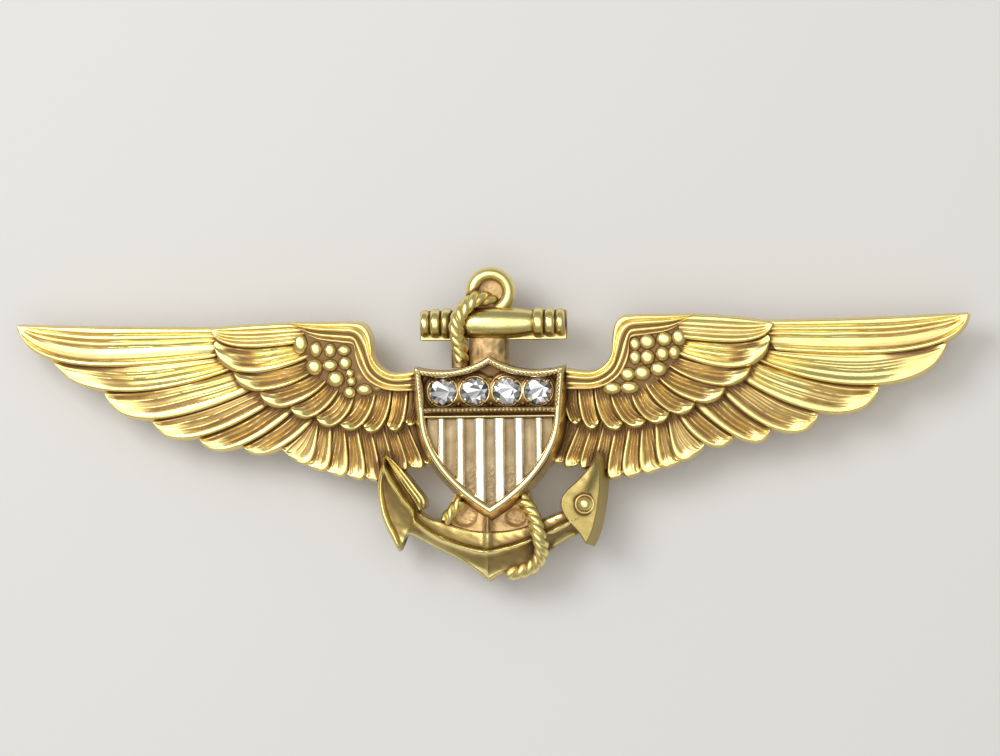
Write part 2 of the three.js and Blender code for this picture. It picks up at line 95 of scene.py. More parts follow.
def through(knots: list, per: int) -> Array:
    """A smooth line through its knots, with as many points between each two of them.

    Each stretch is the Catmull-Rom cubic of its four nearest knots.

    Args:
        knots: Points to pass through.
        per: Points in each stretch.

    Returns:
        Points, shape (per (knots - 1) + 1, k).
    """
    p = np.asarray(knots, float)
    p = np.vstack([2 * p[0] - p[1], p, 2 * p[-1] - p[-2]])
    t = np.linspace(0, 1, per, endpoint=False)[:, None]
    a, b, c, d = p[:-3, None], p[1:-2, None], p[2:-1, None], p[3:, None]
    dense = 0.5 * (2 * b + (c - a) * t + (2 * a - 5 * b + 4 * c - d) * t**2 + (3 * b - a - 3 * c + d) * t**3)
    return np.vstack([dense.reshape(-1, p.shape[1]), p[-2]])


def spline(knots: list, count: int) -> Array:
    """A smooth line through its knots, evenly spaced along its length."""
    return spaced(through(knots, 16), count)


def spaced(line: Array, count: int) -> Array:
    """The same line with its points evenly spaced by length.

    Args:
        line: Points, shape (n, k).
        count: How many points it gets.

    Returns:
        Points, shape (count, k).
    """
    run = np.concatenate([[0], np.cumsum(np.linalg.norm(np.diff(line, axis=0), axis=1))])
    at = np.linspace(0, run[-1], count)
    return np.stack([np.interp(at, run, line[:, k]) for k in range(line.shape[1])], axis=1)


def unit(vectors: Array) -> Array:
    """Vectors scaled to length 1."""
    return vectors / np.maximum(np.linalg.norm(vectors, axis=-1, keepdims=True), 1e-9)


def around(count: int) -> Array:
    """Angles evenly spaced round a circle, from 0."""
    return np.linspace(0, 2 * np.pi, count, endpoint=False)


def right_of(line: Array) -> Array:
    """Unit directions to the right of a flat line's travel."""
    along = unit(np.gradient(line, axis=0))
    return np.stack([along[:, 1], -along[:, 0]], axis=1)


def stretch_of(v: Array, breaks: tuple) -> tuple:
    """Which stretch each place lies in, and how far along it.

    Args:
        v: Places, 0 to 1.
        breaks: The stretches' ends, with 0 first and 1 last.

    Returns:
        The stretches' numbers and the shares of their lengths, two arrays.
    """
    b = np.asarray(breaks)
    i = np.clip(np.searchsorted(b, v, side="right") - 1, 0, len(b) - 2)
    return i, (v - b[i]) / (b[i + 1] - b[i])


def ribs(v: Array, breaks: tuple, heights: tuple, fullness: float = 2.4) -> Array:
    """Rounded ribs side by side with a sharp groove between each two.

    In a rib from b to c the height is h (1 - |2 (v - b) / (c - b) - 1| ^ fullness).

    Args:
        v: Places across, 0 to 1.
        breaks: The grooves' places, with 0 first and 1 last.
        heights: One height for each rib.
        fullness: How square the ribs are.

    Returns:
        Heights of the same shape as v.
    """
    i, t = stretch_of(v, breaks)
    return np.asarray(heights)[i] * (1 - np.abs(2 * t - 1) ** fullness)


def troughs(v: Array, crests: tuple, heights: tuple, sharpness: float = 4.0) -> Array:
    """Thin crests with wide, flat troughs between them.

    In a trough from b to c the height is h |cos(pi (v - b) / (c - b))| ^ sharpness, with the nearer
    crest's h.

    Args:
        v: Places across, 0 to 1.
        crests: The crests' places, with 0 first and 1 last.
        heights: One height for each crest.
        sharpness: How thin the crests are.

    Returns:
        Heights of the same shape as v.
    """
    i, t = stretch_of(v, crests)
    h = np.asarray(heights)[np.where(t < 0.5, i, i + 1)]
    return h * np.abs(np.cos(np.pi * t)) ** sharpness


def beyond(line: Array, xy: Array) -> Array:
    """Distance from a flat line, positive to the right of its travel.

    Each place takes its nearest point of the line, and the sign comes from the direction to the right there.

    Args:
        line: The line's points, shape (n, 2).
        xy: Places, with their two numbers last.

    Returns:
        Distances, with one for each place.
    """
    gap = xy[..., None, :] - line
    nearest = np.argmin((gap**2).sum(-1), axis=-1)
    step = np.take_along_axis(gap, nearest[..., None, None], axis=-2)[..., 0, :]
    side = (step * right_of(line)[nearest]).sum(-1)
    return np.sign(side) * np.linalg.norm(step, axis=-1)


def ripple(xy: Array, seed: int, size: float, count: int = 14) -> Array:
    """Smooth unevenness, a mean of plane sine waves in seeded directions, from about -1 to 1.

    Args:
        xy: Places, with their two numbers last.
        seed: Which pattern it is.
        size: Length of a middling wave.
        count: How many waves.

    Returns:
        Heights, with one for each place.
    """
    rng = np.random.default_rng(seed)
    angle = rng.uniform(0, 2 * np.pi, count)
    length = size * rng.uniform(0.6, 1.8, count)
    k = 2 * np.pi / length * np.stack([np.cos(angle), np.sin(angle)])
    return np.sin(xy @ k + rng.uniform(0, 2 * np.pi, count)).mean(axis=-1) * 2


# ------------------------------------------------------------------ closed surfaces

EDGE_STEPS = np.array([0.72, 0.45, 0.22, 0.07, 0.0])  # points round a rounded edge, as shares of its radius
WIDEST_EDGE = 0.3  # most that a rounded edge may take of a strip's width
POLE = 1e-4  # radius at which a turned solid's end is closed


@dataclass
class Shell:
    """A closed mesh in millimetres.

    Attributes:
        points: Vertices, shape (n, 3).
        faces: Arrays of vertex numbers, each of triangles or of quads.
    """

    points: Array
    faces: list

    @staticmethod
    def rings(rings: Array) -> Shell:
        """A surface through closed rings, with a fan over the first and the last ring.

        Args:
            rings: Points, shape (rings, points round, 3).

        Returns:
            The shell, with its faces outwards.
        """
        n, m, _ = rings.shape
        base = np.arange(n * m).reshape(n, m)
        first, last = n * m, n * m + 1
        near, far = base[0], base[-1]
        fans = np.concatenate(
            [
                np.stack([np.full(m, first), np.roll(near, -1), near], axis=1),
                np.stack([np.full(m, last), far, np.roll(far, -1)], axis=1),
            ]
        )
        points = np.vstack([rings.reshape(-1, 3), rings[0].mean(0), rings[-1].mean(0)])
        return Shell(points, [Shell._bands(base[:-1], base[1:]), fans]).outwards()

    @staticmethod
    def loop(rings: Array) -> Shell:
        """A surface through closed rings that come back to the first one, such as a ring's wire.

        Args:
            rings: Points, shape (rings, points round, 3).

        Returns:
            The shell, with its faces outwards.
        """
        n, m, _ = rings.shape
        near = np.arange(n * m).reshape(n, m)
        return Shell(rings.reshape(-1, 3), [Shell._bands(near, np.roll(near, -1, 0))]).outwards()

    @staticmethod
    def _bands(near: Array, far: Array) -> Array:
        """Quads between each ring of vertex numbers and the ring after it."""
        return np.stack([near, np.roll(near, -1, 1), np.roll(far, -1, 1), far], axis=-1).reshape(-1, 4)

    def volume(self) -> float:
        """Six times the signed volume, the sum of a . (b x c) over the triangles.

        Returns:
            The sum, below 0 where the faces point inwards.
        """
        total = 0.0
        for block in self.faces:
            p = self.points[block]
            for k in range(1, block.shape[1] - 1):
                total += np.einsum("ij,ij->", p[:, 0], np.cross(p[:, k], p[:, k + 1]))
        return total

    def outwards(self) -> Shell:
        """Turns the faces to point out.

        Returns:
            The shell itself.
        """
        if self.volume() < 0:
            self.faces = [block[:, ::-1] for block in self.faces]
        return self

    def mirrored(self, side: int) -> Shell:
        """The shell with X times side, which is 1 or -1."""
        return Shell(self.points * [side, 1, 1], list(self.faces)).outwards()

    def moved(self, x: float = 0, y: float = 0, z: float = 0) -> Shell:
        """The shell moved."""
        return Shell(self.points + [x, y, z], self.faces)

    @staticmethod
    def joined(shells: list) -> Shell:
        """Several shells as one, each still closed.

        Args:
            shells: The shells.

        Returns:
            One shell that holds them all.
        """
        starts = np.cumsum([0] + [len(shell.points) for shell in shells])
        faces = [block + start for shell, start in zip(shells, starts) for block in shell.faces]
        return Shell(np.vstack([shell.points for shell in shells]), faces)


def quarter_round(inside: Array, radius: float) -> Array:
    """How far a rounded edge lies below its top, r - sqrt(r^2 - (r - d)^2) at a distance d inside it."""
    gap = np.minimum(inside, radius)
    return radius - np.sqrt(np.maximum(radius**2 - (radius - gap) ** 2, 0))


def strip(back: Array, edge: Array, tops: Heights, floor: float, across: int = 40, flare: float = 0.12,
          rim: float = 0.12, back_rim: bool = False, back_flare: float | None = None) -> Shell:
    """A closed body between two lines, with a shaped top, drafted sides and a flat floor.

    A point of the top is (1 - v) back(u) + v edge(u), and its height is tops(u, v, xy) less a quarter round
    of radius rim at the edge.

    Args:
        back: The left line, shape (n, 2), from root to tip.
        edge: The right line, shape (n, 2).
        tops: Gives heights from u and v and from the places xy.
        floor: Height of the flat underside.
        across: Points across the top.
        flare: How far the sides spread on their way down.
        rim: Radius of the edge.
        back_rim: Whether the back line has a rounded edge too.
        back_flare: The spread below the back line, if it isn't the same.

    Returns:
        The shell.
    """
    n = len(edge)
    width = np.maximum(np.linalg.norm(edge - back, axis=1), 1e-3)[:, None]
    share = np.minimum(rim / width, WIDEST_EDGE)
    low = share * EDGE_STEPS[::-1] if back_rim else np.zeros((n, 1))
    start = share if back_rim else np.zeros((n, 1))
    inner = start + np.linspace(0, 1, across) * (1 - share - start)
    v = np.concatenate([low[:, :-1] if back_rim else low[:, :0], inner, 1 - share * EDGE_STEPS], axis=1)
    u = np.repeat(np.linspace(0, 1, n)[:, None], v.shape[1], axis=1)
    drop = quarter_round((1 - v) * width, rim)
    if back_rim:
        drop += quarter_round(v * width, rim)
    xy = back[:, None] * (1 - v[..., None]) + edge[:, None] * v[..., None]
    z = tops(u, v, xy) - drop
    top = np.concatenate([xy, z[..., None]], axis=-1)
    down = np.full((n, 1), floor)
    edge_foot = np.hstack([edge + flare * right_of(edge), down])[:, None]
    if back_flare is None:
        back_flare = flare if back_rim else 0.0
    back_foot = np.hstack([back - back_flare * right_of(back), down])[:, None]
    return Shell.rings(np.concatenate([top, edge_foot, back_foot], axis=1))


def frames_along(path: Array) -> tuple:
    """Directions sideways and up, square to a path that is never upright.

    Args:
        path: Points, shape (n, 3).

    Returns:
        The unit directions sideways, level, and the ones square to them and to the path, two arrays.
    """
    along = unit(np.gradient(path, axis=0))
    side = unit(np.cross(along, [0.0, 0.0, 1.0]))
    return side, np.cross(side, along)


def sweep(path: Array, section: Array) -> Shell:
    """A profile carried along a path.

    At each point of the path the profile's first number goes sideways and its second one up, square to it.

    Args:
        path: Points, shape (n, 3).
        section: A closed profile, shape (m, 2).

    Returns:
        The shell.
    """
    side, rise = frames_along(path)
    return Shell.rings(path[:, None] + section[:, :1] * side[:, None] + section[:, 1:] * rise[:, None])


def circle(radius: float, count: int) -> Array:
    """A round profile."""
    a = around(count)
    return radius * np.stack([np.cos(a), np.sin(a)], axis=1)


def turned(profile: list, count: int = 48, axis: str = "z") -> Shell:
    """A solid of revolution from [radius, height] pairs, lowest first, about one axis.

    Args:
        profile: Radius and height of each ring.
        count: Points round.
        axis: The letter of the axis that heights run along.

    Returns:
        The shell, about the origin.
    """
    p = np.asarray(profile, float)
    a = around(count)
    r = np.maximum(p[:, :1], POLE)
    round_x, round_y = r * np.cos(a), r * np.sin(a)
    height = np.repeat(p[:, 1:], count, axis=1)
    placed = {
        "x": (height, round_x, round_y),
        "y": (round_y, height, round_x),
        "z": (round_x, round_y, height),
    }
    return Shell.rings(np.stack(placed[axis], axis=-1))


def softened(profile: list, radius: float, steps: int = 4) -> list:
    """A profile with each inner corner replaced by a small curve.

    The curve is (1 - t)^2 a + 2 t (1 - t) c + t^2 b, for a corner c and the points a and b on its two sides.

    Args:
        profile: Points, two numbers each.
        radius: How far from the corner the curve begins, or 0.45 of the side if that is less.
        steps: Stretches along each curve.

    Returns:
        The profile's points.
    """
    p = np.asarray(profile, float)
    t = np.linspace(0, 1, steps + 1)[:, None]
    made = [p[:1]]
    for before, corner, after in zip(p[:-2], p[1:-1], p[2:]):
        a = corner + unit(before - corner) * min(radius, 0.45 * np.linalg.norm(before - corner))
        b = corner + unit(after - corner) * min(radius, 0.45 * np.linalg.norm(after - corner))
        made.append((1 - t) ** 2 * a + 2 * t * (1 - t) * corner + t**2 * b)
    return np.vstack([*made, p[-1:]]).tolist()


def dome(x: float, y: float, wide: float, tall: float, floor: float, rise: float, squareness: float) -> Shell:
    """A low rounded boss with an oval foot.

    At a share q of the way out its height is rise (1 - q ^ squareness).

    Args:
        x: Its middle's X.
        y: Its middle's Y.
        wide: Its width.
        tall: Its length along Y.
        floor: Height of its foot.
        rise: Its own height.
        squareness: How square its side view is, 2 for round.

    Returns:
        The shell, which goes on below its foot.
    """
    q = np.array([0.0, 0.3, 0.55, 0.72, 0.85, 0.94, 1.0, 1.04])[:, None]
    a = around(18)[None]
    z = floor + rise * (1 - np.minimum(q, 1) ** squareness) - np.where(q > 1, 0.3, 0.0)
    rings = np.stack([x + 0.5 * wide * q * np.cos(a), y + 0.5 * tall * q * np.sin(a), z + 0 * a], axis=-1)
    return Shell.rings(rings)


# ------------------------------------------------------------------ finishes

# Scales are for Object coordinates in metres. A place's hollowness goes from 0, rubbed, to 1, deep in a seam,
# and darkens it as patina and as painted shade.
PATCHES = (900.0, 4.0)  # scale and detail of the patches of wear
PATCH_SHARE = 0.34  # how much the patches add to the hollowness
GRAIN = (7000.0, 3.0)  # scale and detail of the fine grain
GRAIN_HEIGHT = 0.00003  # metres
TONE_STOPS = (0.12, 0.42, 0.72, 1.0)  # hollowness of a polished, a plain, a sunk and a dark place
GLOSS_RANGE = (0.1, 0.95)  # hollowness over which the polish is lost
PATINA_AND_SHADE_RANGE = (0.7, 1.1)  # hollowness over which the metal is covered by patina and darkened as painted shade
PATINA_AND_SHADE_METAL = 0.55  # how metallic a place under patina and painted shade still is


def blank_material(name: str) -> tuple:
    """A new node material.

    Args:
        name: Its name.

    Returns:
        The material, its node tree and its shader.
    """
    made = bpy.data.materials.new(name)
    made.use_nodes = True
    return made, made.node_tree, made.node_tree.nodes["Principled BSDF"]


def attribute_value(tree: Tree, name: str) -> Socket:
    """The value of one of the piece's own attributes.

    Args:
        tree: The material's node tree.
        name: The attribute's name.

    Returns:
        The socket that gives it.
    """
    node = tree.nodes.new("ShaderNodeAttribute")
    node.attribute_name = name
    return node.outputs["Fac"]


def noise(tree: Tree, scale: float, detail: float) -> Socket:
    """Noise on Object coordinates.

    Args:
        tree: The material's node tree.
        scale: The noise's scale.
        detail: Its detail.

    Returns:
        The socket that gives it.
    """
    where = tree.nodes.new("ShaderNodeTexCoord")
    node = tree.nodes.new("ShaderNodeTexNoise")
    node.inputs["Scale"].default_value = scale
    node.inputs["Detail"].default_value = detail
    tree.links.new(where.outputs["Object"], node.inputs["Vector"])
    return node.outputs["Fac"]


def ranged(tree: Tree, value: Socket, old: tuple, new: tuple) -> Socket:
    """A value carried from one range over to another.

    Args:
        tree: The material's node tree.
        value: The socket that gives the value.
        old: The range's ends.
        new: What they become.

    Returns:
        The socket that gives the result.
    """
    node = tree.nodes.new("ShaderNodeMapRange")
    for name, end in zip(("From Min", "From Max", "To Min", "To Max"), (*old, *new)):
        node.inputs[name].default_value = end
    tree.links.new(value, node.inputs["Value"])
    return node.outputs["Result"]


def tinted(tree: Tree, value: Socket, stops: list) -> Socket:
    """Colours that follow a value.

    Args:
        tree: The node tree.
        value: The socket that gives the value.
        stops: Pairs of a value and its colour, in rising order.

    Returns:
        The socket that gives the colour.
    """
    node = tree.nodes.new("ShaderNodeValToRGB")
    elements = node.color_ramp.elements
    while len(elements) < len(stops):
        elements.new(0.5)
    for element, (place, colour) in zip(elements, stops):
        element.position = place
        element.color = (*colour, 1.0)
    tree.links.new(value, node.inputs["Fac"])
    return node.outputs["Color"]


class Tone(Enum):
    """Which gold a surface is."""

    WING = "wing"
    ANCHOR = "anchor"
    SHIELD = "shield"
    STRIPE = "stripe"
    SATIN = "satin"
    PALM = "palm"
    FITTING = "fitting"


@dataclass(frozen=True)
class GoldFinish:
    """Worn gold: polished where it is rubbed, tan where it isn't, and dark in its grooves, where patina and
    painted shade darken it.

    Attributes:
        name: The material's name.
        bright: Colour of the polished high places.
        middle: Colour of the plain surface.
        recess: Colour of the hollows, patina with painted shade.
        dark: Colour of the narrow seams, dark patina with painted shade.
        smooth: Roughness of the polished places.
        rough: Roughness of the hollows.
        grain: Strength of the fine grain.
    """

    name: str
    bright: tuple
    middle: tuple
    recess: tuple
    dark: tuple
    smooth: float = 0.2
    rough: float = 0.5
    grain: float = 0.25

    def material(self) -> bpy.types.Material:
        """Builds the node material, which reads the piece's own attribute "hollow", whose patina and painted
        shade darken it.

        Returns:
            The material.
        """
        made, tree, shader = blank_material(self.name)
        mixed = tree.nodes.new("ShaderNodeMath")
        mixed.operation = "MULTIPLY_ADD"
        tree.links.new(noise(tree, *PATCHES), mixed.inputs[0])
        mixed.inputs[1].default_value = PATCH_SHARE
        tree.links.new(attribute_value(tree, "hollow"), mixed.inputs[2])
        hollow = mixed.outputs[0]
        bump = tree.nodes.new("ShaderNodeBump")
        bump.inputs["Strength"].default_value = self.grain
        bump.inputs["Distance"].default_value = GRAIN_HEIGHT
        tree.links.new(noise(tree, *GRAIN), bump.inputs["Height"])
        # Patina and painted shade: the colour goes from polished gold to dark as the hollowness grows.
        tones = list(zip(TONE_STOPS, (self.bright, self.middle, self.recess, self.dark)))
        sources = {
            "Base Color": tinted(tree, hollow, tones),
            "Roughness": ranged(tree, hollow, GLOSS_RANGE, (self.smooth, self.rough)),
            "Metallic": ranged(tree, hollow, PATINA_AND_SHADE_RANGE, (1.0, PATINA_AND_SHADE_METAL)),
            "Normal": bump.outputs["Normal"],
        }
        for name, source in sources.items():
            tree.links.new(source, shader.inputs[name])
        return made


@dataclass(frozen=True)
class DiamondFinish:
    """Cut stone with painted reflections: each facet's colour, dark or light, stands in for the light it
    sends back.

    Attributes:
        name: The material's name.
        dark: Painted colour of a facet that sends nothing back.
        light: Painted colour of one that sends back all it gets, a painted reflection.
        mirror: How much of a mirror a facet is.
        coat: Weight of the clear surface over it.
        coat_index: That surface's refractive index.
        haze: Scale and detail of the faint haze.
        haze_range: The haze's noise where it begins and where it is full.
        polish: Roughness without haze and under it.
    """

    name: str = "cut_stone"
    dark: tuple = (0.035, 0.037, 0.036)
    light: tuple = (0.95, 0.95, 0.97)
    mirror: float = 0.85
    coat: float = 0.6
    coat_index: float = 2.0
    haze: tuple = (2500.0, 2.0)
    haze_range: tuple = (0.45, 0.75)
    polish: tuple = (0.04, 0.22)

    def material(self) -> bpy.types.Material:
        """Builds the node material, which paints each facet's own share of light into its colour, with a
        faint haze over it.

        Returns:
            The material.
        """
        made, tree, shader = blank_material(self.name)
        shader.inputs["Metallic"].default_value = self.mirror
        shader.inputs["Coat Weight"].default_value = self.coat
        shader.inputs["Coat IOR"].default_value = self.coat_index
        # Painted reflection: the facet's share of light picks its colour between dark and light.
        colour = tinted(tree, attribute_value(tree, "facet"), [(0.0, self.dark), (1.0, self.light)])
        tree.links.new(colour, shader.inputs["Base Color"])
        rough = ranged(tree, noise(tree, *self.haze), self.haze_range, self.polish)
        tree.links.new(rough, shader.inputs["Roughness"])
        return made


FINISHES = {
    Tone.WING: GoldFinish(
        "wing_gold", (0.95, 0.82, 0.34), (0.88, 0.68, 0.26), (0.76, 0.53, 0.21), (0.28, 0.16, 0.06),
        smooth=0.28, rough=0.58, grain=0.6),
    Tone.ANCHOR: GoldFinish(
        "anchor_gold", (0.95, 0.83, 0.36), (0.66, 0.51, 0.17), (0.52, 0.36, 0.14), (0.12, 0.065, 0.022),
        smooth=0.2, rough=0.46, grain=0.35),
    Tone.SHIELD: GoldFinish(
        "shield_gold", (0.96, 0.82, 0.46), (0.80, 0.59, 0.26), (0.44, 0.27, 0.10), (0.12, 0.06, 0.022),
        smooth=0.18, rough=0.45),
    Tone.STRIPE: GoldFinish(
        "stripe_gold", (1.0, 0.93, 0.74), (0.74, 0.58, 0.34), (0.55, 0.43, 0.24), (0.30, 0.21, 0.11),
        smooth=0.06, rough=0.45),
    Tone.SATIN: GoldFinish(
        "satin_gold", (0.38, 0.275, 0.125), (0.44, 0.315, 0.15), (0.80, 0.56, 0.27), (0.20, 0.11, 0.045),
        smooth=0.5, rough=0.6, grain=0.8),
    Tone.PALM: GoldFinish(
        "palm_gold", (0.46, 0.36, 0.13), (0.48, 0.37, 0.13), (0.44, 0.33, 0.12), (0.16, 0.09, 0.03),
        smooth=0.42, rough=0.58, grain=0.6),
    Tone.FITTING: GoldFinish(
        "back_gold", (0.88, 0.69, 0.28), (0.74, 0.53, 0.19), (0.46, 0.28, 0.10), (0.12, 0.06, 0.02),
        smooth=0.22, rough=0.46),
}


# ------------------------------------------------------------------ hollows and high places, for the patina and the painted shade

LEVEL_HOLLOW = 0.34  # hollowness of a level place
CLOSE_WEIGHT = 0.62  # what a narrow hollow as deep as the next number adds, patina and painted shade in the seams
CLOSE_DEPTH = 0.115
BROAD_WEIGHT = 0.2  # the same for a wide hollow, painted shade and patina
BROAD_DEPTH = 0.7
RUBBED = 0.12  # how much less hollow the wings' upper edges count, which are handled most
RUBBED_AT = (29, 6.4)  # the middle of that place on the right wing
RUBBED_SPREAD = (7, 1.4)
LOW = 0.3  # below this height above the flat back every place is as hollow as the next number
LOW_HOLLOW = 0.5

@dataclass
class Relief:
    """The badge's front as a height map, from which each point's hollowness is worked out; the finishes paint
    it as patina and as painted shade in seams and hollows.

    Attributes:
        base: Height of the flat back.
        cell: Spacing of the map.
        half: Half of its length and half of its width.
        blurs: Widths of its two blurs, in cells.
        tops: The highest point in each cell.
        near: The map under the narrow blur.
        wide: The map under the wide blur.
    """

    base: float
    cell: float = 0.1
    half: tuple = (37.0, 14.0)
    blurs: tuple = (2.6, 9.0)
    tops: Array = field(init=False)
    near: Array = field(init=False)
    wide: Array = field(init=False)

    def read(self, shells: list) -> None:
        """Fills the map with the highest point in each cell and blurs it twice.

        Args:
            shells: Everything on the front.
        """
        shape = tuple(int(2 * h / self.cell) + 1 for h in self.half)
        self.tops = np.full(shape, self.base)
        for shell in shells:
            points = [shell.points]
            for block in shell.faces:
                corners = shell.points[block]
                sides = [(corners[:, k] + corners[:, k + 1]) / 2 for k in (0, 1)]
                points += [corners.mean(1), *sides]
            p = np.vstack(points)
            i, j = self._cells(p)
            np.maximum.at(self.tops, (i, j), p[:, 2])
        self.near, self.wide = (self._blurred(width) for width in self.blurs)

    def _cells(self, points: Array) -> tuple:
        """Row and column of each point."""
        ij = np.round((points[:, :2] + self.half) / self.cell).astype(int)
        return tuple(np.clip(ij, 0, np.array(self.tops.shape) - 1).T)

    def _at(self, blurred: Array, points: Array) -> Array:
        """A blurred map's height at each point, weighted between its four nearest cells.

        Args:
            blurred: The map.
            points: Points, shape (n, 3).

        Returns:
            Heights, shape (n,).
        """
        place = np.clip((points[:, :2] + self.half) / self.cell, 0, np.array(blurred.shape) - 1.001)
        i, j = place.astype(int).T
        a, b = (place % 1).T
        low = blurred[i, j] * (1 - b) + blurred[i, j + 1] * b
        high = blurred[i + 1, j] * (1 - b) + blurred[i + 1, j + 1] * b
        return low * (1 - a) + high * a

    def _blurred(self, cells: float) -> Array:
        """The map under a bell-shaped blur, exp(-(d / width)^2 / 2) at a distance d, along X and then Y.

        Args:
            cells: The bell's width.

        Returns:
            The blurred map.
        """
        reach = int(3 * cells)
        bell = np.exp(-0.5 * (np.arange(-reach, reach + 1) / cells) ** 2)
        bell /= bell.sum()
        rows = np.apply_along_axis(np.convolve, 0, self.tops, bell, "same")
        return np.apply_along_axis(np.convolve, 1, rows, bell, "same")

    def hollow(self, points: Array) -> Array:
        """How hollow the surface is: how far it lies below the two blurred maps, each with its weight, which
        paints patina together with occlusion shade.

        Args:
            points: Points, shape (n, 3).

        Returns:
            Hollowness from 0 to 1, shape (n,).
        """
        close = (self._at(self.near, points) - points[:, 2]) / CLOSE_DEPTH
        broad = (self._at(self.wide, points) - points[:, 2]) / BROAD_DEPTH
        place = np.stack([np.abs(points[:, 0]), points[:, 1]])
        away_x, away_y = ((at - c) / spread for at, c, spread in zip(place, RUBBED_AT, RUBBED_SPREAD))
        rubbed = RUBBED * np.exp(-(away_x**2) - away_y**2)
        found = np.clip(LEVEL_HOLLOW + CLOSE_WEIGHT * close + BROAD_WEIGHT * broad - rubbed, 0, 1)
        return np.where(points[:, 2] < self.base + LOW, LOW_HOLLOW, found)


# ------------------------------------------------------------------ pieces

WALL_PAINTED_SHADE = 0.3  # painted shade: how much darker a steep wall is made than a level top
WALL_SHADE_RANGE = (0.45, 0.85)  # steepness over which that sets in
UNDERSIDE = -0.5  # faces that look further down than this are left plain
PAINTED_SPARKLE = (0.7, 0.75)  # shape of the painted shares of light on the facets, with most of them near 0 or near 1

@dataclass
class Piece:
    """A finished piece: a shell with its finish, the body that it rides on and the solids that it stands for.

    Attributes:
        name: Its name.
        shell: Its surface.
        finish: Its finish.
        slot: A name for the finish's slot, not used.
        nodes: The solids that it stands for.
        body: The body that it rides on.
        front: Whether it is on the front, where its hollows are worked out.
        even: Whether its hollows are left plain all the same.
        shade_and_stain: How dark its hollows are, with their patina and their painted shade.
        plain: How hollow it counts as where it isn't on the front.
        sharp: Angle in degrees past which an edge is left sharp.
        facets: Seed of its facets' painted shares of light, 0 if it isn't cut.
    """

    name: str
    shell: Shell
    finish: GoldFinish | DiamondFinish
    slot: str
    nodes: tuple
    body: str = "badge"
    front: bool = True
    even: bool = False
    shade_and_stain: float = 1.0
    plain: float = 0.42
    sharp: float = 50.0
    facets: int = 0

    def build(self, relief: Relief) -> None:
        """Puts the piece into the scene.

        Args:
            relief: The front's height map, which gives hollowness where the piece is on the front.
        """
        mesh = bpy.data.meshes.new(self.name)
        faces = [face for block in self.shell.faces for face in block.tolist()]
        mesh.from_pydata((self.shell.points * MM).tolist(), [], faces)
        self._store(mesh, "hollow", "POINT", self._patina_and_shade(mesh, relief))
        # Painted reflections: each facet gets a random dark or light share that colours it in place of the
        # light it would send back.
        if self.facets:
            shares = np.random.default_rng(self.facets).beta(*PAINTED_SPARKLE, len(mesh.polygons))
            self._store(mesh, "facet", "FACE", shares)
        mesh.polygons.foreach_set("use_smooth", np.ones(len(mesh.polygons), bool))
        mesh.set_sharp_from_angle(angle=math.radians(self.sharp))
        mesh.materials.append(material_of(self.finish))
        made = bpy.data.objects.new(self.name, mesh)
        bpy.context.collection.objects.link(made)
        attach(made, self.body)
        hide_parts(*self.nodes)
        LOG.info("%s: %d faces", self.name, len(mesh.polygons))

    def _patina_and_shade(self, mesh: bpy.types.Mesh, relief: Relief) -> Array:
        """How hollow each vertex is, which gives its patina and its painted shade, steep walls counting
        darker.

        Args:
            mesh: The piece's mesh.
            relief: The front's height map.

        Returns:
            Hollowness from 0 to 1, shape (vertices,).
        """
        count = len(mesh.vertices)
        if self.even or not self.front:
            return np.full(count, self.plain)
        normals = np.zeros(3 * count, np.float32)
        mesh.vertices.foreach_get("normal", normals)
        upright = normals.reshape(-1, 3)[:, 2]
        # Painted shade: steep walls are darkened for facing away from the light above, on top of the hollows'
        # patina and painted shade.
        deep = relief.hollow(self.shell.points) + WALL_PAINTED_SHADE * smoothstep(*WALL_SHADE_RANGE, 1 - np.abs(upright))
        deep = np.clip(np.minimum(deep, self.plain + self.shade_and_stain * (deep - self.plain)), 0, 1)
        return np.where(upright < UNDERSIDE, self.plain, deep)

    @staticmethod
    def _store(mesh: bpy.types.Mesh, name: str, domain: str, values: Array) -> None:
        """Keeps values on a mesh as an attribute of its points or its faces."""
        layer = mesh.attributes.new(name, "FLOAT", domain)
        layer.data.foreach_set("value", values.astype(np.float32))


def material_of(finish: GoldFinish | DiamondFinish) -> bpy.types.Material:
    """The finish's material, made the first time it is asked for."""
    return bpy.data.materials.get(finish.name) or finish.material()


# ------------------------------------------------------------------ wings


class Side(Enum):
    """Which wing it is, with the sign of its X."""

    LEFT = -1
    RIGHT = 1


@dataclass(frozen=True)
class FeatherRow:
    """How the feathers of one row are cut.

    Attributes:
        top: Height of the first one above the flat back.
        step: How much lower each next one is.
        dip: How far a feather sinks where it goes under the one before.
        tuck: How far it goes under.
        ribs: How many ribs it has besides its rim.
        relief: Height of the ribs.
        pad: Extra height of the polished tip.
        full: How far along the ribs end and the polished tip begins.
        stations: Sections along a feather.
        rim: Radius of its edge.
        root: How far behind its drawn root it starts, as a share of its first handle.
        sink: How deep its root goes.
    """

    top: float
    step: float
    dip: float
    tuck: float
    ribs: int
    relief: float
    pad: float
    full: float
    stations: int
    rim: float
    root: float
    sink: float

    def places(self) -> Array:
        """Parameters along a feather, sin(pi t / 2), closer together towards its tip and just short of it."""
        return np.sin(0.5 * np.pi * np.linspace(0, 1, self.stations)) * 0.995


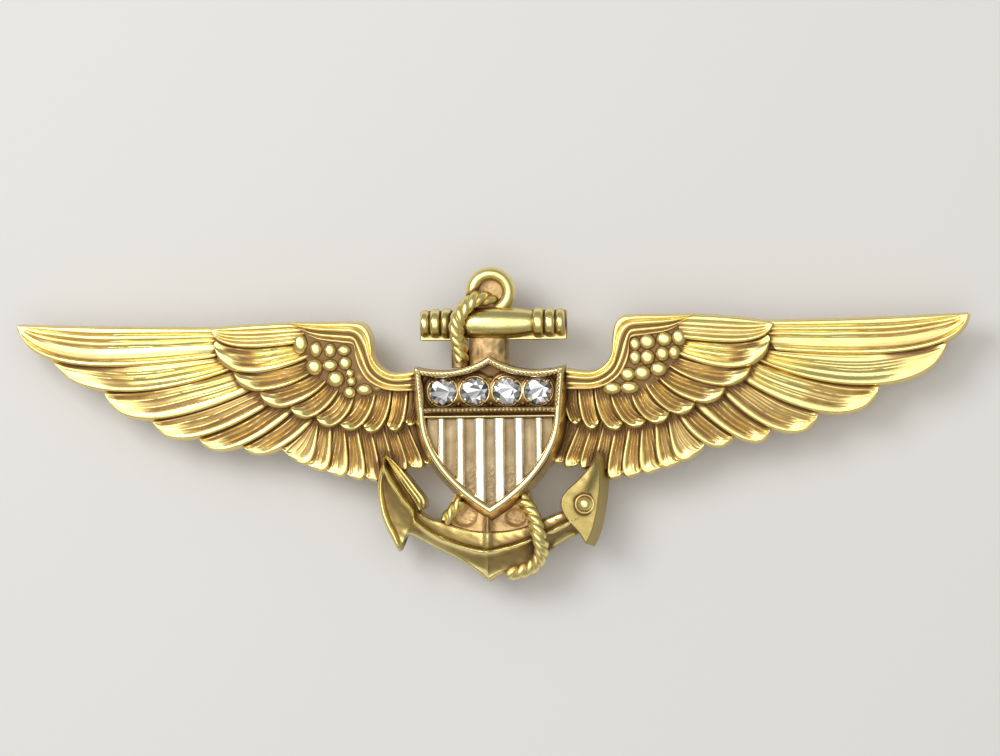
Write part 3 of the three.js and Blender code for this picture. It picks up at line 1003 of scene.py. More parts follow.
@dataclass
class Wing:
    """One struck wing, drawn outwards along +X and then mirrored for the left side.

    A feather is given by the free edge that it shows: its root, two handles and its tip. Each body has an
    underside of its own height, so that no two of them lie in one plane.

    Attributes:
        side: Which wing it is.
        base: Height of the flat back.
        long_quills: The long feathers, longest first.
        scales: The small scales at the shoulder: place, width and length.
        shoulder_top: Y of its upper edge at the shoulder.
        upper: Y of its upper edge at three places further out.
        reach: How far it is stretched along X.
        long_row: How the long feathers are cut.
        short_row: How the short feathers are cut.
        covert_row: How the coverts are cut.
        sheet: Height of the sheet under the feathers above the flat back.
        ground: Height of the ground under the scales.
        scale_rise: Height of a scale above that ground.
        moulding: Height of the leading edge's mouldings.
        root_top: Height of the root behind the shield.
        short_quills: The short feathers, outermost first.
        coverts: The coverts, outermost first.
    """

    side: Side
    base: float
    long_quills: list
    scales: list
    shoulder_top: float
    upper: tuple
    reach: float = 1.0
    long_row: FeatherRow = FeatherRow(1.5, 0.03, 0.28, 0.24, 3, 0.155, 0.07, 0.93, 84, 0.12, 0.45, 0.1)
    short_row: FeatherRow = FeatherRow(1.27, 0.015, 0.15, 0.18, 3, 0.11, 0.05, 0.9, 40, 0.1, 0.6, 0.02)
    covert_row: FeatherRow = FeatherRow(1.86, 0.015, 0.24, 0.2, 3, 0.15, 0.2, 0.8, 56, 0.16, 0.2, 0.3)
    sheet: float = 0.82
    ground: float = 1.72
    scale_rise: float = 0.32
    moulding: float = 1.82
    root_top: float = 0.8
    short_quills: tuple = (
        (12.9, -0.2, 13.1, -1.5, 12.9, -4.3, 15.4, -1.8),
        (11.9, -0.3, 12.1, -1.6, 11.4, -4.4, 13.7, -2.8),
        (10.9, -0.5, 10.9, -1.8, 9.9, -4.8, 12.3, -3.25),
        (9.9, -0.5, 9.8, -1.8, 8.5, -5.0, 10.7, -3.6),
        (8.9, -0.6, 8.7, -1.9, 7.5, -5.0, 9.3, -3.8),
        (8.0, -0.5, 7.8, -1.6, 6.5, -4.2, 8.2, -3.4),
        (7.1, -0.4, 6.9, -1.5, 5.5, -4.0, 7.1, -3.1),
        (6.2, -0.3, 5.9, -1.4, 4.2, -3.8, 6.0, -3.05),
        (5.3, -0.3, 5.0, -1.4, 3.6, -3.3, 5.0, -2.8),
        (4.3, -0.3, 4.1, -1.4, 2.9, -3.2, 4.2, -2.7),
    )
    coverts: tuple = (
        (13.9, 6.15, 16.9, 5.75, 20.1, 5.3, 20.7, 7.2),
        (13.5, 5.0, 16.0, 3.7, 20.2, 3.0, 20.4, 6.05),
        (12.9, 4.1, 14.7, 2.6, 18.7, 1.6, 19.0, 4.1),
        (12.0, 3.4, 13.0, 1.7, 16.8, 0.2, 17.1, 2.6),
        (11.1, 2.9, 11.7, 0.9, 14.4, -0.5, 14.9, 1.5),
        (10.0, 2.5, 10.1, 0.3, 12.5, -1.15, 13.0, 0.75),
        (8.5, 2.6, 8.5, 0.15, 10.7, -1.4, 11.3, 0.3),
        (7.4, 2.8, 7.2, 0.0, 9.0, -1.5, 9.5, -0.05),
        (6.2, 2.8, 6.05, 0.0, 7.1, -1.3, 7.7, -0.05),
        (5.2, 2.8, 5.1, 0.8, 5.7, -0.9, 6.4, 0.2),
    )

    def shell(self) -> Shell:
        """The whole wing.

        Returns:
            One shell of closed bodies.
        """
        parts = [self._first_quill()]
        parts += self._row(self.long_quills[1:], self.long_quills[0], self.long_row, 1)
        parts += self._row(self.short_quills, self.long_quills[-1], self.short_row, 20)
        parts.append(self._first_covert())
        parts += self._row(self.coverts[1:], self.coverts[0], self.covert_row, 40)
        parts += [self._sheet(), self._ground(), self._shoulder(), self._root()]
        parts += self._scales()
        whole = Shell.joined([part.mirrored(self.side.value) for part in parts])
        whole.points[:, 0] *= self.reach
        return whole

    def _scales(self) -> list:
        """The scales, each spread a little at its foot."""
        floor = self.base + self.ground
        return [dome(x, y, 1.3 * a, 1.3 * b, floor, self.scale_rise, 4.2) for x, y, a, b in self.scales]

    def _row(self, edges: list, before: tuple, row: FeatherRow, seed: int) -> list:
        """A row of feathers, each tucked under the one before it.

        Args:
            edges: The feathers' free edges.
            before: The free edge of the feather that the first one lies under.
            row: How they are cut.
            seed: The first one's seed.

        Returns:
            Their shells.
        """
        made = []
        for i, free in enumerate(edges):
            previous = edges[i - 1] if i else before
            made.append(self._feather(free, previous, row, row.top - (i + 1) * row.step, seed + i))
        return made

    def _feather(self, free: tuple, previous: tuple, row: FeatherRow, top: float, seed: int) -> Shell:
        """One feather.

        Its hidden line starts under the feather before it and meets the free edge in a rounded tip.

        Args:
            free: Root, two handles and tip of its free edge.
            previous: The same of the feather that it lies under.
            row: How its row is cut.
            top: Its height above the flat back.
            seed: For its small irregularities.

        Returns:
            The shell.
        """
        edge_handles = np.reshape(free, (4, 2))
        before = np.reshape(previous, (4, 2))
        for handles in (edge_handles, before):
            handles[0] -= row.root * (handles[1] - handles[0])
        tip, arrive = edge_handles[3], edge_handles[3] - edge_handles[2]
        start = before[0] + row.tuck * np.array([-0.3, 1.0])
        back_handles = [start, start + 0.85 * (before[1] - before[0]), tip + 0.3 * arrive, tip]
        t = row.places()
        cover = bezier(before, np.linspace(0, 1, 160))

        def tops(u: Array, v: Array, xy: Array) -> Array:
            """The feather's cut, lower where it goes under the one before."""
            under = 1 - smoothstep(-0.1, row.tuck, beyond(cover, xy))
            return self._tops(u, v, row, top, seed) - row.dip * under

        lines = (bezier(handles, t) for handles in (back_handles, edge_handles))
        return strip(*lines, tops, self.base + 0.003 * seed, 46, rim=row.rim)

    def _tops(self, u: Array, v: Array, row: FeatherRow, top: float, seed: int) -> Array:
        """Heights over a feather: thin crests, a broad rim beyond the last one, and a full, polished tip.

        The crests wander a little and fade out before the tip. The tip's pad is flat in its middle, with the
        weight exp(-(p^4) - q^4) at distances p along the feather and q across it from there.

        Args:
            u: Places along the feather.
            v: Places across it.
            row: How its row is cut.
            top: Its height above the flat back.
            seed: For its small irregularities.

        Returns:
            Heights, as many as places.
        """
        rng = np.random.default_rng(seed)
        along = u * (2 - u)
        lines = np.linspace(0.26, 0.82, row.ribs + 1) + 0.03 * rng.uniform(-1, 1, row.ribs + 1)
        crests = (0.0, *lines, 1.0)
        heights = row.relief * np.array([0.6, *rng.uniform(0.6, 1.1, row.ribs), 0.9, 0.9])
        wander = 0.035 * np.sin(5 * along + rng.uniform(0, 6))
        wander = wander + 0.012 * np.sin(15 * along + rng.uniform(0, 6))
        across = np.clip(v + wander * v * (1 - v) * 4, 0, 1)
        inside = troughs(across, crests, heights) * (0.92 + 0.12 * np.sin(9 * along + seed))
        start = lines[-1]
        band = row.relief * (0.9 + 0.35 * np.sin(np.pi * np.clip((across - start) / (1 - start), 0, 1)))
        fade = 1 - smoothstep(row.full - 0.12, row.full + 0.04, along)
        cut = np.where(across < start, inside, band)
        smooth_level = row.relief * 0.95 * (1 - fade)
        out, over = (along - 0.81) / 0.16, (v - 0.7) / 0.26
        weight = np.exp(-(out**4) - over**4)
        pad = row.relief * 0.9 + row.pad - 0.04 * out**2 - 0.04 * over**2
        cut = cut * fade + smooth_level
        cut = cut + np.maximum(pad - cut, 0) * weight
        root = row.sink * (1 - smoothstep(0.0, 0.2, u))
        return self.base + top - row.relief + cut - root

    def _first_quill(self) -> Shell:
        """The longest feather, whose back line is the wing's upper edge.

        Returns:
            Its shell, with five ribs and fine lines along them.
        """
        free = np.reshape(self.long_quills[0], (4, 2))
        t = self.long_row.places()
        upper = bezier([(19.0, self.upper[0]), (26, self.upper[1]), (31, self.upper[2]), free[3]], t)

        def tops(u: Array, v: Array, xy: Array) -> Array:
            """Five ribs with fine lines along them, and a smooth tip."""
            along = u * (2 - u)
            breaks = (0.0, 0.18, 0.35, 0.5, 0.84, 1.0)
            heights = 0.13 * np.array([0.8, 0.95, 0.8, 0.9, 1.3])
            wander = 0.018 * np.sin(6 * along) + 0.007 * np.sin(19 * along)
            cut = ribs(np.clip(v + wander * np.sin(np.pi * v), 0, 1), breaks, heights, 3.2)
            cut = cut + 0.012 * np.sin(46 * v + 5 * along + 2 * np.sin(7 * along)) * np.sin(np.pi * v)
            fade = 1 - smoothstep(0.88, 0.97, along)
            return self.base + self.long_row.top - 0.1 + cut * fade + 0.09 * (1 - fade)

        return strip(upper, bezier(free, t), tops, self.base, 56, back_rim=True)

    def _first_covert(self) -> Shell:
        """The first covert, along the wing's upper edge.

        Returns:
            Its shell, with five ribs.
        """
        free = np.reshape(self.coverts[0], (4, 2))
        t = self.covert_row.places()
        top = self.shoulder_top
        upper = bezier([(13.6, top), (16.5, top), (19.5, self.upper[0] + 0.1), free[3]], t)

        def tops(u: Array, v: Array, xy: Array) -> Array:
            """Five ribs and a smooth tip."""
            along = u * (2 - u)
            cut = ribs(v, (0.0, 0.25, 0.45, 0.62, 0.78, 1.0), 0.1 * np.array([1.0, 0.7, 0.6, 0.7, 1.2]))
            fade = 1 - smoothstep(0.8, 0.94, along)
            return self.base + self.covert_row.top - 0.06 + cut * fade + 0.09 * (1 - fade)

        return strip(upper, bezier(free, t), tops, self.base + 0.1, 44, back_rim=True)

    def _sheet(self) -> Shell:
        """The sheet under all the feathers, which shows as a dark ground where they part.

        Returns:
            Its shell.
        """
        lower = spline([
            (6.0, -1.6), (9.0, -1.9), (12.8, -1.5), (15.6, -0.4), (17.6, 0.6), (19.8, 2.2), (21.5, 4.6),
        ], 60)
        upper = spline([
            (6.0, 3.0), (9.4, 4.2), (12.8, 6.6), (15.6, 7.0), (17.6, 7.1), (19.8, 7.1), (22.0, 7.0),
        ], 60)

        def tops(u: Array, v: Array, xy: Array) -> Array:
            """Nearly level."""
            return self.base + self.sheet + 0.02 * np.sin(30 * u + 20 * v)

        return strip(upper, lower, tops, self.base + 0.11, 30, flare=0.0, rim=0.03)

    def _ground(self) -> Shell:
        """The sunk ground that the scales stand on.

        Returns:
            Its shell, a little lower along its lower edge.
        """
        upper = spline([(14.6, 7.2), (12.5, 7.0), (10.2, 6.8), (9.6, 5.5), (9.0, 3.6), (7.9, 3.2)], 60)
        lower = spline([(14.3, 5.9), (13.3, 4.4), (12.0, 3.0), (10.3, 2.0), (8.9, 2.1), (7.8, 2.6)], 60)

        def tops(u: Array, v: Array, xy: Array) -> Array:
            """Nearly level, and lower along its lower edge."""
            fall = 0.22 * (1 - smoothstep(0.0, 0.45, v))
            return self.base + self.ground - fall + 0.02 * ripple(xy, 51, 0.6)

        return strip(lower, upper, tops, self.base + 0.12, 24)

    def _shoulder(self) -> Shell:
        """The leading edge's mouldings, carried from the coverts round to the shield.

        Returns:
            Their shell.
        """
        top = self.shoulder_top
        outer = spline(
            [
                (14.9, top), (12.5, top), (10.4, top), (9.5, top - 0.12), (9.0, top - 0.75), (8.85, 6.0),
                (8.8, 5.2), (8.45, 4.5), (7.8, 3.98), (7.0, 3.8), (5.4, 4.0),
            ], 150)
        inner = spline(
            [
                (14.3, top - 0.42), (12.9, top - 1.2), (11.2, top - 1.5), (10.35, top - 1.62),
                (10.1, top - 1.9), (10.05, 5.0), (9.75, 4.1), (9.2, 3.3), (8.3, 2.75), (7.2, 2.5),
                (5.4, 2.5),
            ], 150)

        def tops(u: Array, v: Array, xy: Array) -> Array:
            """Four ribs, higher outwards."""
            breaks = (0.0, 0.14, 0.2, 0.42, 0.5, 0.74, 1.0)
            cut = ribs(v, breaks, (0.1, 0.0, 0.15, 0.0, 0.19, 0.12), 2.8)
            return self.base + self.moulding + cut + 0.08 * smoothstep(0.4, 0.9, v)

        return strip(inner, outer, tops, self.base + 0.14, 44)

    def _root(self) -> Shell:
        """The wing's root that runs under the shield.

        Returns:
            Its shell.
        """
        lower = spline([(1.4, -2.2), (3.6, -2.2), (5.4, -2.0)], 12)
        upper = spline([(1.4, 3.2), (4.0, 3.2), (6.4, 3.3)], 12)

        def tops(u: Array, v: Array, xy: Array) -> Array:
            """Level."""
            return self.base + self.root_top + 0 * u

        return strip(upper, lower, tops, self.base + 0.001, 12, flare=0.02, rim=0.05)


LEFT_QUILLS = [
    (20.4, 5.15, 26.5, 4.3, 34.2, 3.6, 35.0, 7.65),
    (19.3, 4.1, 23.5, 2.2, 30.6, 1.6, 32.3, 5.0),
    (17.9, 2.55, 21.0, 1.0, 27.3, -1.0, 28.5, 2.5),
    (17.0, 1.2, 19.2, -0.3, 23.8, -2.2, 25.0, 0.4),
    (15.3, 0.5, 16.8, -0.9, 20.4, -2.9, 21.6, -0.9),
    (13.7, -0.2, 14.8, -1.5, 17.2, -2.8, 18.4, -1.5),
]
RIGHT_QUILLS = [
    (20.9, 5.2, 26.5, 4.6, 34.6, 4.3, 35.0, 7.75),
    (20.0, 4.1, 24.0, 1.7, 32.4, 1.6, 33.3, 5.6),
    (19.0, 2.6, 22.3, 0.2, 27.3, -0.6, 28.3, 2.3),
    (17.0, 1.9, 18.6, -0.2, 22.6, -2.2, 23.8, 0.3),
    (15.0, 1.0, 16.6, -0.7, 19.6, -2.7, 20.3, -0.7),
    (13.6, 0.4, 14.2, -1.2, 16.6, -2.8, 17.6, -1.1),
]
LEFT_SCALES = [
    (14.07, 6.1, 0.85, 1.15), (12.93, 5.65, 0.75, 0.95), (11.9, 5.55, 0.75, 0.9), (10.87, 5.54, 0.85, 0.7),
    (13.05, 4.35, 0.95, 0.95), (11.9, 4.45, 0.95, 0.75), (10.8, 4.6, 0.8, 0.85), (11.5, 3.45, 1.0, 0.95),
    (10.45, 3.85, 0.55, 0.55), (10.35, 3.25, 0.6, 0.6), (10.5, 2.45, 0.75, 0.7), (9.42, 2.65, 0.95, 0.7),
]
RIGHT_SCALES = [
    (10.5, 5.77, 0.7, 0.85), (11.4, 5.94, 1.0, 0.95), (12.65, 6.12, 1.0, 0.9), (13.7, 6.25, 0.85, 1.0),
    (10.5, 4.8, 0.75, 0.9), (11.4, 4.8, 0.9, 0.95), (12.5, 5.05, 0.85, 0.9), (13.35, 5.15, 0.7, 0.85),
    (9.95, 3.56, 0.95, 0.85), (11.0, 3.66, 1.0, 0.9), (12.2, 3.94, 1.0, 0.85), (8.8, 2.55, 1.1, 0.75),
    (10.05, 2.6, 1.1, 0.75),
]


# ------------------------------------------------------------------ shield and stones


def grown(line: Array, distance: float) -> Array:
    """A closed line, drawn anticlockwise, moved outwards.

    Each point moves along the mean of its two sides' normals, so far that the sides move by the distance.

    Args:
        line: Points, shape (n, 2).
        distance: How far, negative for inwards.

    Returns:
        The moved points.
    """
    after = unit(np.roll(line, -1, 0) - line)
    before = np.roll(after, 1, 0)
    normals = [np.stack([d[:, 1], -d[:, 0]], axis=1) for d in (before, after)]
    middle = unit(normals[0] + normals[1])
    reach = np.maximum((middle * normals[0]).sum(1, keepdims=True), 0.5)
    return line + middle * distance / reach


def bead(x: float, y: float, z: float, radius: float) -> Shell:
    """A small ball with few faces.

    Args:
        x: Its middle's X.
        y: Its middle's Y.
        z: Its middle's height.
        radius: Its radius.

    Returns:
        The shell, with its top and bottom cut off flat.
    """
    tilt = np.linspace(-0.42, 0.47, 5) * np.pi
    a = around(10)
    out, up = radius * np.cos(tilt)[:, None], radius * np.sin(tilt)[:, None]
    return Shell.rings(np.stack([x + out * np.cos(a), y + out * np.sin(a), z + up + 0 * a], axis=-1))


@dataclass
class Shield:
    """The shield over the middle: a rimmed pan with a bar across, a striped plate below and stones above.

    Attributes:
        base: Height of the flat back. The other heights are above it.
        x: X of its middle.
        half: Half of its width at its shoulders.
        peak: Y of its upper edge at the middle.
        shoulder: Y of its shoulders.
        waist: Half of its width and the Y where its sides begin to curve in.
        point: Y of its lower point.
        bottom: Height of its underside.
        rim: Width of its rim.
        bar: Lower and upper Y of its bar.
        bar_top: Height of the bar.
        pales: The upright bars: place along X and width.
        field_floor: Height of the plate between the pales.
        pale_top: Height of the pales.
        plate_top: Height of the plate round the stones.
        bead_size: Radius of the milled beads.
        bead_pitch: From one bead to the next.
        stone_y: Y of the stones.
        stone_radius: Radius of a stone.
        stones: Places of the stones along X.
        girdle: Height of a stone's girdle.
    """

    base: float
    x: float = -0.2
    half: float = 5.5
    peak: float = 4.95
    shoulder: float = 4.2
    waist: tuple = (5.2, 0.5)
    point: float = -6.6
    bottom: float = 1.16
    rim: float = 0.5
    bar: tuple = (0.42, 1.25)
    bar_top: float = 2.8
    pales: tuple = ((-3.57, 0.54), (-2.17, 0.66), (-0.75, 0.84), (0.7, 0.86), (2.14, 0.74), (3.6, 0.56))
    field_floor: float = 2.35
    pale_top: float = 2.95
    plate_top: float = 2.6
    bead_size: float = 0.15
    bead_pitch: float = 0.3
    stone_y: float = 2.4
    stone_radius: float = 1.0
    stones: tuple = (-3.45, -1.1, 1.3, 3.6)
    girdle: float = 2.56

    def outline(self, offset: float = 0.0) -> Array:
        """The shield's edge, anticlockwise from its peak.

        Args:
            offset: How far it is moved outwards.

        Returns:
            Its points, shape (n, 2).
        """
        t = np.linspace(0, 1, 30)
        brow = bezier([(0, self.peak), (-1.2, 4.1), (-3.2, 3.55), (-self.half, self.shoulder)], t)
        flank = np.linspace(brow[-1], (-self.waist[0], self.waist[1]), 12)[1:]
        belly = bezier([flank[-1], (-5.1, -2.3), (-2.8, -4.9), (0, self.point)], t)[1:]
        left = np.vstack([brow, flank, belly])
        right = left[-2:0:-1] * [-1, 1]
        return grown(np.vstack([left, right]) + [self.x, 0], offset)

    def _level(self, x: Array, low: bool, offset: float) -> Array:
        """The Y at which upright lines meet the outline.

        Args:
            x: The lines' places.
            low: Whether its lower edge is meant, and not its upper one.
            offset: How far the outline is moved outwards.

        Returns:
            One Y for each line.
        """
        line = self.outline(offset)
        line = line[line[:, 1] < self.waist[1]] if low else line[line[:, 1] > 2.5]
        order = np.argsort(line[:, 0])
        return np.interp(x, line[order, 0], line[order, 1])

    def frame(self) -> Shell:
        """The rimmed pan, its bar, and the milled beads on both.

        Returns:
            One shell of closed bodies.
        """
        section = [
            (0.46, self.bottom), (0.43, self.bottom + 0.15), (0.12, 2.8), (0.06, 2.98), (0.0, 3.1),
            (-0.07, 3.17), (-0.16, 3.2), (-0.28, 3.2), (-0.38, 3.14), (-0.45, 3.02), (-self.rim, 2.85),
            (-self.rim, 1.9), (-self.rim - 0.1, 1.7),
        ]
        edge = self.outline()
        level = (1 - 0.75 * smoothstep(2.0, 3.6, edge[:, 1]))[:, None]
        spread = [edge + (self.outline(d) - edge) * (level if d > 0 else 1.0) for d, _ in section]
        levels = [np.full((len(edge), 1), z) for _, z in section]
        rings = np.stack([np.hstack(pair) for pair in zip(spread, levels)])
        return Shell.joined([Shell.rings(rings + [0, 0, self.base]), self._bar(), *self._milling()])

    def _bar(self) -> Shell:
        """The bar between stones and stripes: a beaded moulding above a plain one.

        Returns:
            Its shell.
        """
        low, high = self.bar
        reach = self.waist[0] - self.rim + 0.15
        x = self.x + np.linspace(-reach, reach, 60)
        upper, lower = np.column_stack([x, 0 * x + high]), np.column_stack([x, 0 * x + low])

        def tops(u: Array, v: Array, xy: Array) -> Array:
            """A low rib for the beads, a groove and a higher rib."""
            return self.base + self.bar_top + ribs(v, (0.0, 0.56, 0.68, 1.0), (0.1, -0.12, 0.3), 2.6)

        return strip(upper, lower, tops, self.base + 1.7, 30, flare=0.02, rim=0.08, back_rim=True)

    def _milling(self) -> list:
        """Beads along the bar and along the rim round the stones.

        Returns:
            Their shells.
        """
        size, pitch = self.bead_size, self.bead_pitch
        reach = self.waist[0] - self.rim - 0.05
        bar_y = self.bar[1] - 0.22
        across = np.arange(-reach, reach, pitch) + self.x
        made = [bead(x, bar_y, self.base + 3.07, size) for x in across]
        inner = self.outline(-0.32)
        inner = np.vstack([inner, inner[:1]])
        inner = spaced(inner, int(np.linalg.norm(np.diff(inner, axis=0), axis=1).sum() / pitch))
        made += [bead(x, y, self.base + 3.23, size) for x, y in inner[:-1] if y > self.bar[1]]
        return made

    def stripes(self) -> Shell:
        """The lower plate's sunk floor, smooth above and rough towards its point.

        Returns:
            Its shell.
        """
        high = self.bar[0] - 0.02
        reach = self.waist[0] - self.rim - 0.1
        x = self.x + np.linspace(-reach, reach, 180)
        upper = np.column_stack([x, 0 * x + high])
        lower = np.column_stack([x, np.minimum(self._level(x, True, -self.rim + 0.06), high - 0.02)])

        def floor(u: Array, v: Array, xy: Array) -> Array:
            """Smooth above, and rough as cast towards the point."""
            cast = ripple(xy, 7, 0.45, 30) + 0.6 * ripple(xy, 8, 0.2, 40)
            return self.base + self.field_floor + (0.004 + 0.05 * smoothstep(-2.2, -4.8, xy[..., 1])) * cast

        return strip(upper, lower, floor, self.base + 1.75, 120, flare=0.0, rim=0.03, back_rim=True)

    def uprights(self) -> Shell:
        """The six rounded, polished pales."""
        high = self.bar[0] - 0.02
        return Shell.joined([self._pale(self.x + place, wide, high) for place, wide in self.pales])

    def _pale(self, x: float, wide: float, high: float) -> Shell:
        """One upright bar with a full round top, down to the rim.

        Args:
            x: X of its middle.
            wide: Its width.
            high: Y of its upper end.

        Returns:
            Its shell.
        """
        ends = self._level(np.array([x - wide / 2, x + wide / 2]), True, -self.rim + 0.08)
        left = np.linspace((x - wide / 2, high), (x - wide / 2, ends[0]), 70)
        right = np.linspace((x + wide / 2, high), (x + wide / 2, ends[1]), 70)

        def tops(u: Array, v: Array, xy: Array) -> Array:
            """A full round top, slightly worn."""
            worn = 0.004 * ripple(xy, int(40 + 3 * x), 0.9)
            return self.base + self.pale_top - 0.16 + 0.1 * (1 - np.abs(2 * v - 1) ** 2.6) + worn

        return strip(right, left, tops, self.base + 2.1, 18, flare=0.04, rim=0.09, back_rim=True)

    def setting(self) -> Shell:
        """The upper plate: a cone cut for each stone, a lip round it, and grains raised over its edge.

        Returns:
            One shell of closed bodies.
        """
        low = self.bar[1] + 0.02
        reach = self.half - self.rim - 0.12
        x = self.x + np.linspace(-reach, reach, 320)
        lower = np.column_stack([x, 0 * x + low])
        upper = np.column_stack([x, self._level(x, False, -self.rim + 0.04)])

        def tops(u: Array, v: Array, xy: Array) -> Array:
            """A cone at each stone, and a lip round it."""
            x, y = xy[..., 0], xy[..., 1]
            near = np.min([np.hypot(x - self.x - place, y - self.stone_y) for place in self.stones], axis=0)
            r = self.stone_radius
            cone = self.girdle - 0.82 * (1 - near / r) - 0.1
            raised = 0.1 * np.exp(-(((near - r - 0.1) / 0.09) ** 2))
            lip = self.plate_top + raised - 0.16 * smoothstep(0.25, 0.6, near - r)
            return self.base + np.where(near < r + 0.02, np.minimum(cone, lip), lip)

        plate = strip(upper, lower, tops, self.base + 1.5, 130, flare=0.0, rim=0.03, back_rim=True)
        return Shell.joined([plate, *self._grains()])

    def _grains(self) -> list:
        """Four grains over each stone's edge, and pointed ones between the stones.

        Returns:
            Their shells.
        """
        made = []
        for s in self.stones:
            for angle in np.radians([45, 135, 225, 315]):
                out = self.stone_radius + 0.06
                x, y = self.x + s + out * np.cos(angle), self.stone_y + out * np.sin(angle)
                made.append(dome(x, y, 0.46, 0.46, self.base + 2.55, 0.34, 2.0))
        middles = (np.array(self.stones[1:]) + self.stones[:-1]) / 2
        for m in middles:
            for sign in (-1, 1):
                made.append(dome(self.x + m, self.stone_y + sign * 0.92, 0.4, 0.5, self.base + 2.5, 0.3, 1.6))
        return made

    def stone(self, number: int) -> Shell:
        """One round brilliant: a table, eight kites with stars and halves, a girdle and a faceted cone below.

        Args:
            number: Which stone, 0 for the leftmost.

        Returns:
            Its shell, each stone turned a little further than the one before.
        """
        place = [self.x + self.stones[number], self.stone_y, self.base + self.girdle]
        turn = 0.2 * number
        rows = [
            (0.52, 0.2, 8, 0.0), (0.78, 0.14, 8, 0.5), (1.0, 0.04, 16, 0.0), (1.0, 0.0, 16, 0.0),
            (0.46, -0.3, 8, 0.5),
        ]
        points = [(0, 0, -0.66)]  # the culet, then each row in shares of the radius
        starts = []
        for radius, height, count, shift in rows:
            starts.append(len(points))
            a = turn + 2 * np.pi * (np.arange(count) + shift) / count
            flat = radius * np.cos(a), radius * np.sin(a)
            points += np.column_stack([*flat, np.full(count, height)]).tolist()
        table, crown, girdle, under, pavilion = starts
        n = np.arange(8)
        m = (n + 1) % 8
        j = (2 * n + 1) % 16
        k = (2 * n + 2) % 16
        faces = [
            [table + n, crown + n, table + m],
            [girdle + j, girdle + k, crown + n],
            [girdle + 2 * n, girdle + j, crown + n],
            [table + m, crown + n, girdle + k],
            [table + m, girdle + k, crown + m],
            [under + j, under + 2 * n, pavilion + n],
            [under + k, under + j, pavilion + n],
            [under + k, pavilion + n, pavilion + m],
            [pavilion + m, pavilion + n, np.zeros(8, int)],
        ]
        ring = np.arange(16)
        after = (ring + 1) % 16
        wall = np.stack([under + ring, under + after, girdle + after, girdle + ring], axis=1)
        hub = np.stack([np.full(6, table), table + np.arange(1, 7), table + np.arange(2, 8)], axis=1)
        triangles = np.concatenate([np.stack(face, axis=1) for face in faces] + [hub])
        return Shell(np.asarray(points) * self.stone_radius + place, [triangles, wall])


# ------------------------------------------------------------------ anchor


def roof(back: list, crest: list, edge: list, base: float, heights: tuple, foot: float,
         grooves: float = 0.0, outer: float = 0.0) -> Shell:
    """A ridged bar: its top rises in a hollow curve from both edges to a thin crest.

    The rise is t^1.7 from an edge, t = 0, to the crest, t = 1. A bead stands on the crest, and a low rib
    crosses the bar at the crown.

    Args:
        back: Points along the left edge.
        crest: Points along the crest, as many.
        edge: Points along the right edge, as many.
        base: Height of the flat back.
        heights: Heights above it at the left edge, the crest and the right edge.
        foot: Height of its underside above the flat back.
        grooves: Depth of the fine grooves.
        outer: Height of the raised rim along the left edge.

    Returns:
        The shell.
    """
    b, c, e = (through(line, 96 // (len(line) - 1)) for line in (back, crest, edge))
    span = np.linalg.norm(e - b, axis=1)
    share = np.clip(np.linalg.norm(c - b, axis=1) / np.maximum(span, 1e-6), 0.12, 0.88)
    low_b, high, low_e = heights

    def tops(u: Array, v: Array, xy: Array) -> Array:
        """Two hollow slopes with the crest's bead, the rim and the rib."""
        ridge = share[:, None]
        rise = np.where(v < ridge, low_b + (high - low_b) * (v / ridge) ** 1.7,
                        low_e + (high - low_e) * ((1 - v) / (1 - ridge)) ** 1.7)
        lines = grooves * np.sin(3.5 * np.pi * v) ** 2 * smoothstep(0.05, 0.2, u)
        wide = span[:, None]
        line = 0.2 * np.exp(-(np.abs((v - ridge) * wide / 0.25) ** 3))
        line = line + outer * np.exp(-(np.abs((v * wide - 0.22) / 0.33) ** 3)) * smoothstep(0.52, 0.68, u)
        x, y = xy[..., 0], xy[..., 1]
        rib = 0.22 * np.exp(-(((x + 0.5) / 0.3) ** 2)) * smoothstep(-9.9, -9.2, y)
        return base + rise + lines + line + rib + 0.018 * ripple(xy, 21, 0.8)

    return strip(b, e, tops, base + foot, 72, flare=0.14, rim=0.18, back_rim=True)


def rope(route: list, radius: float, lay: float, count: int = 170) -> Shell:
    """A cable of three strands, each a round bar on a helix round the route.

    At a length s along the route a strand's angle is 2 pi (s / lay + k / 3).

    Args:
        route: Points that the cable's middle passes through.
        radius: The cable's outer radius.
        lay: Length of one full twist.
        count: Sections along it.

    Returns:
        The shell of the three strands.
    """
    line = spline(route, count)
    side, rise = frames_along(line)
    run = np.concatenate([[0], np.cumsum(np.linalg.norm(np.diff(line, axis=0), axis=1))])
    strands = []
    for k in range(3):
        angle = (2 * np.pi * (run / lay + k / 3))[:, None]
        middle = line + 0.48 * radius * (np.cos(angle) * side + np.sin(angle) * rise)
        strands.append(sweep(middle, circle(0.56 * radius, 14)))
    return Shell.joined(strands)


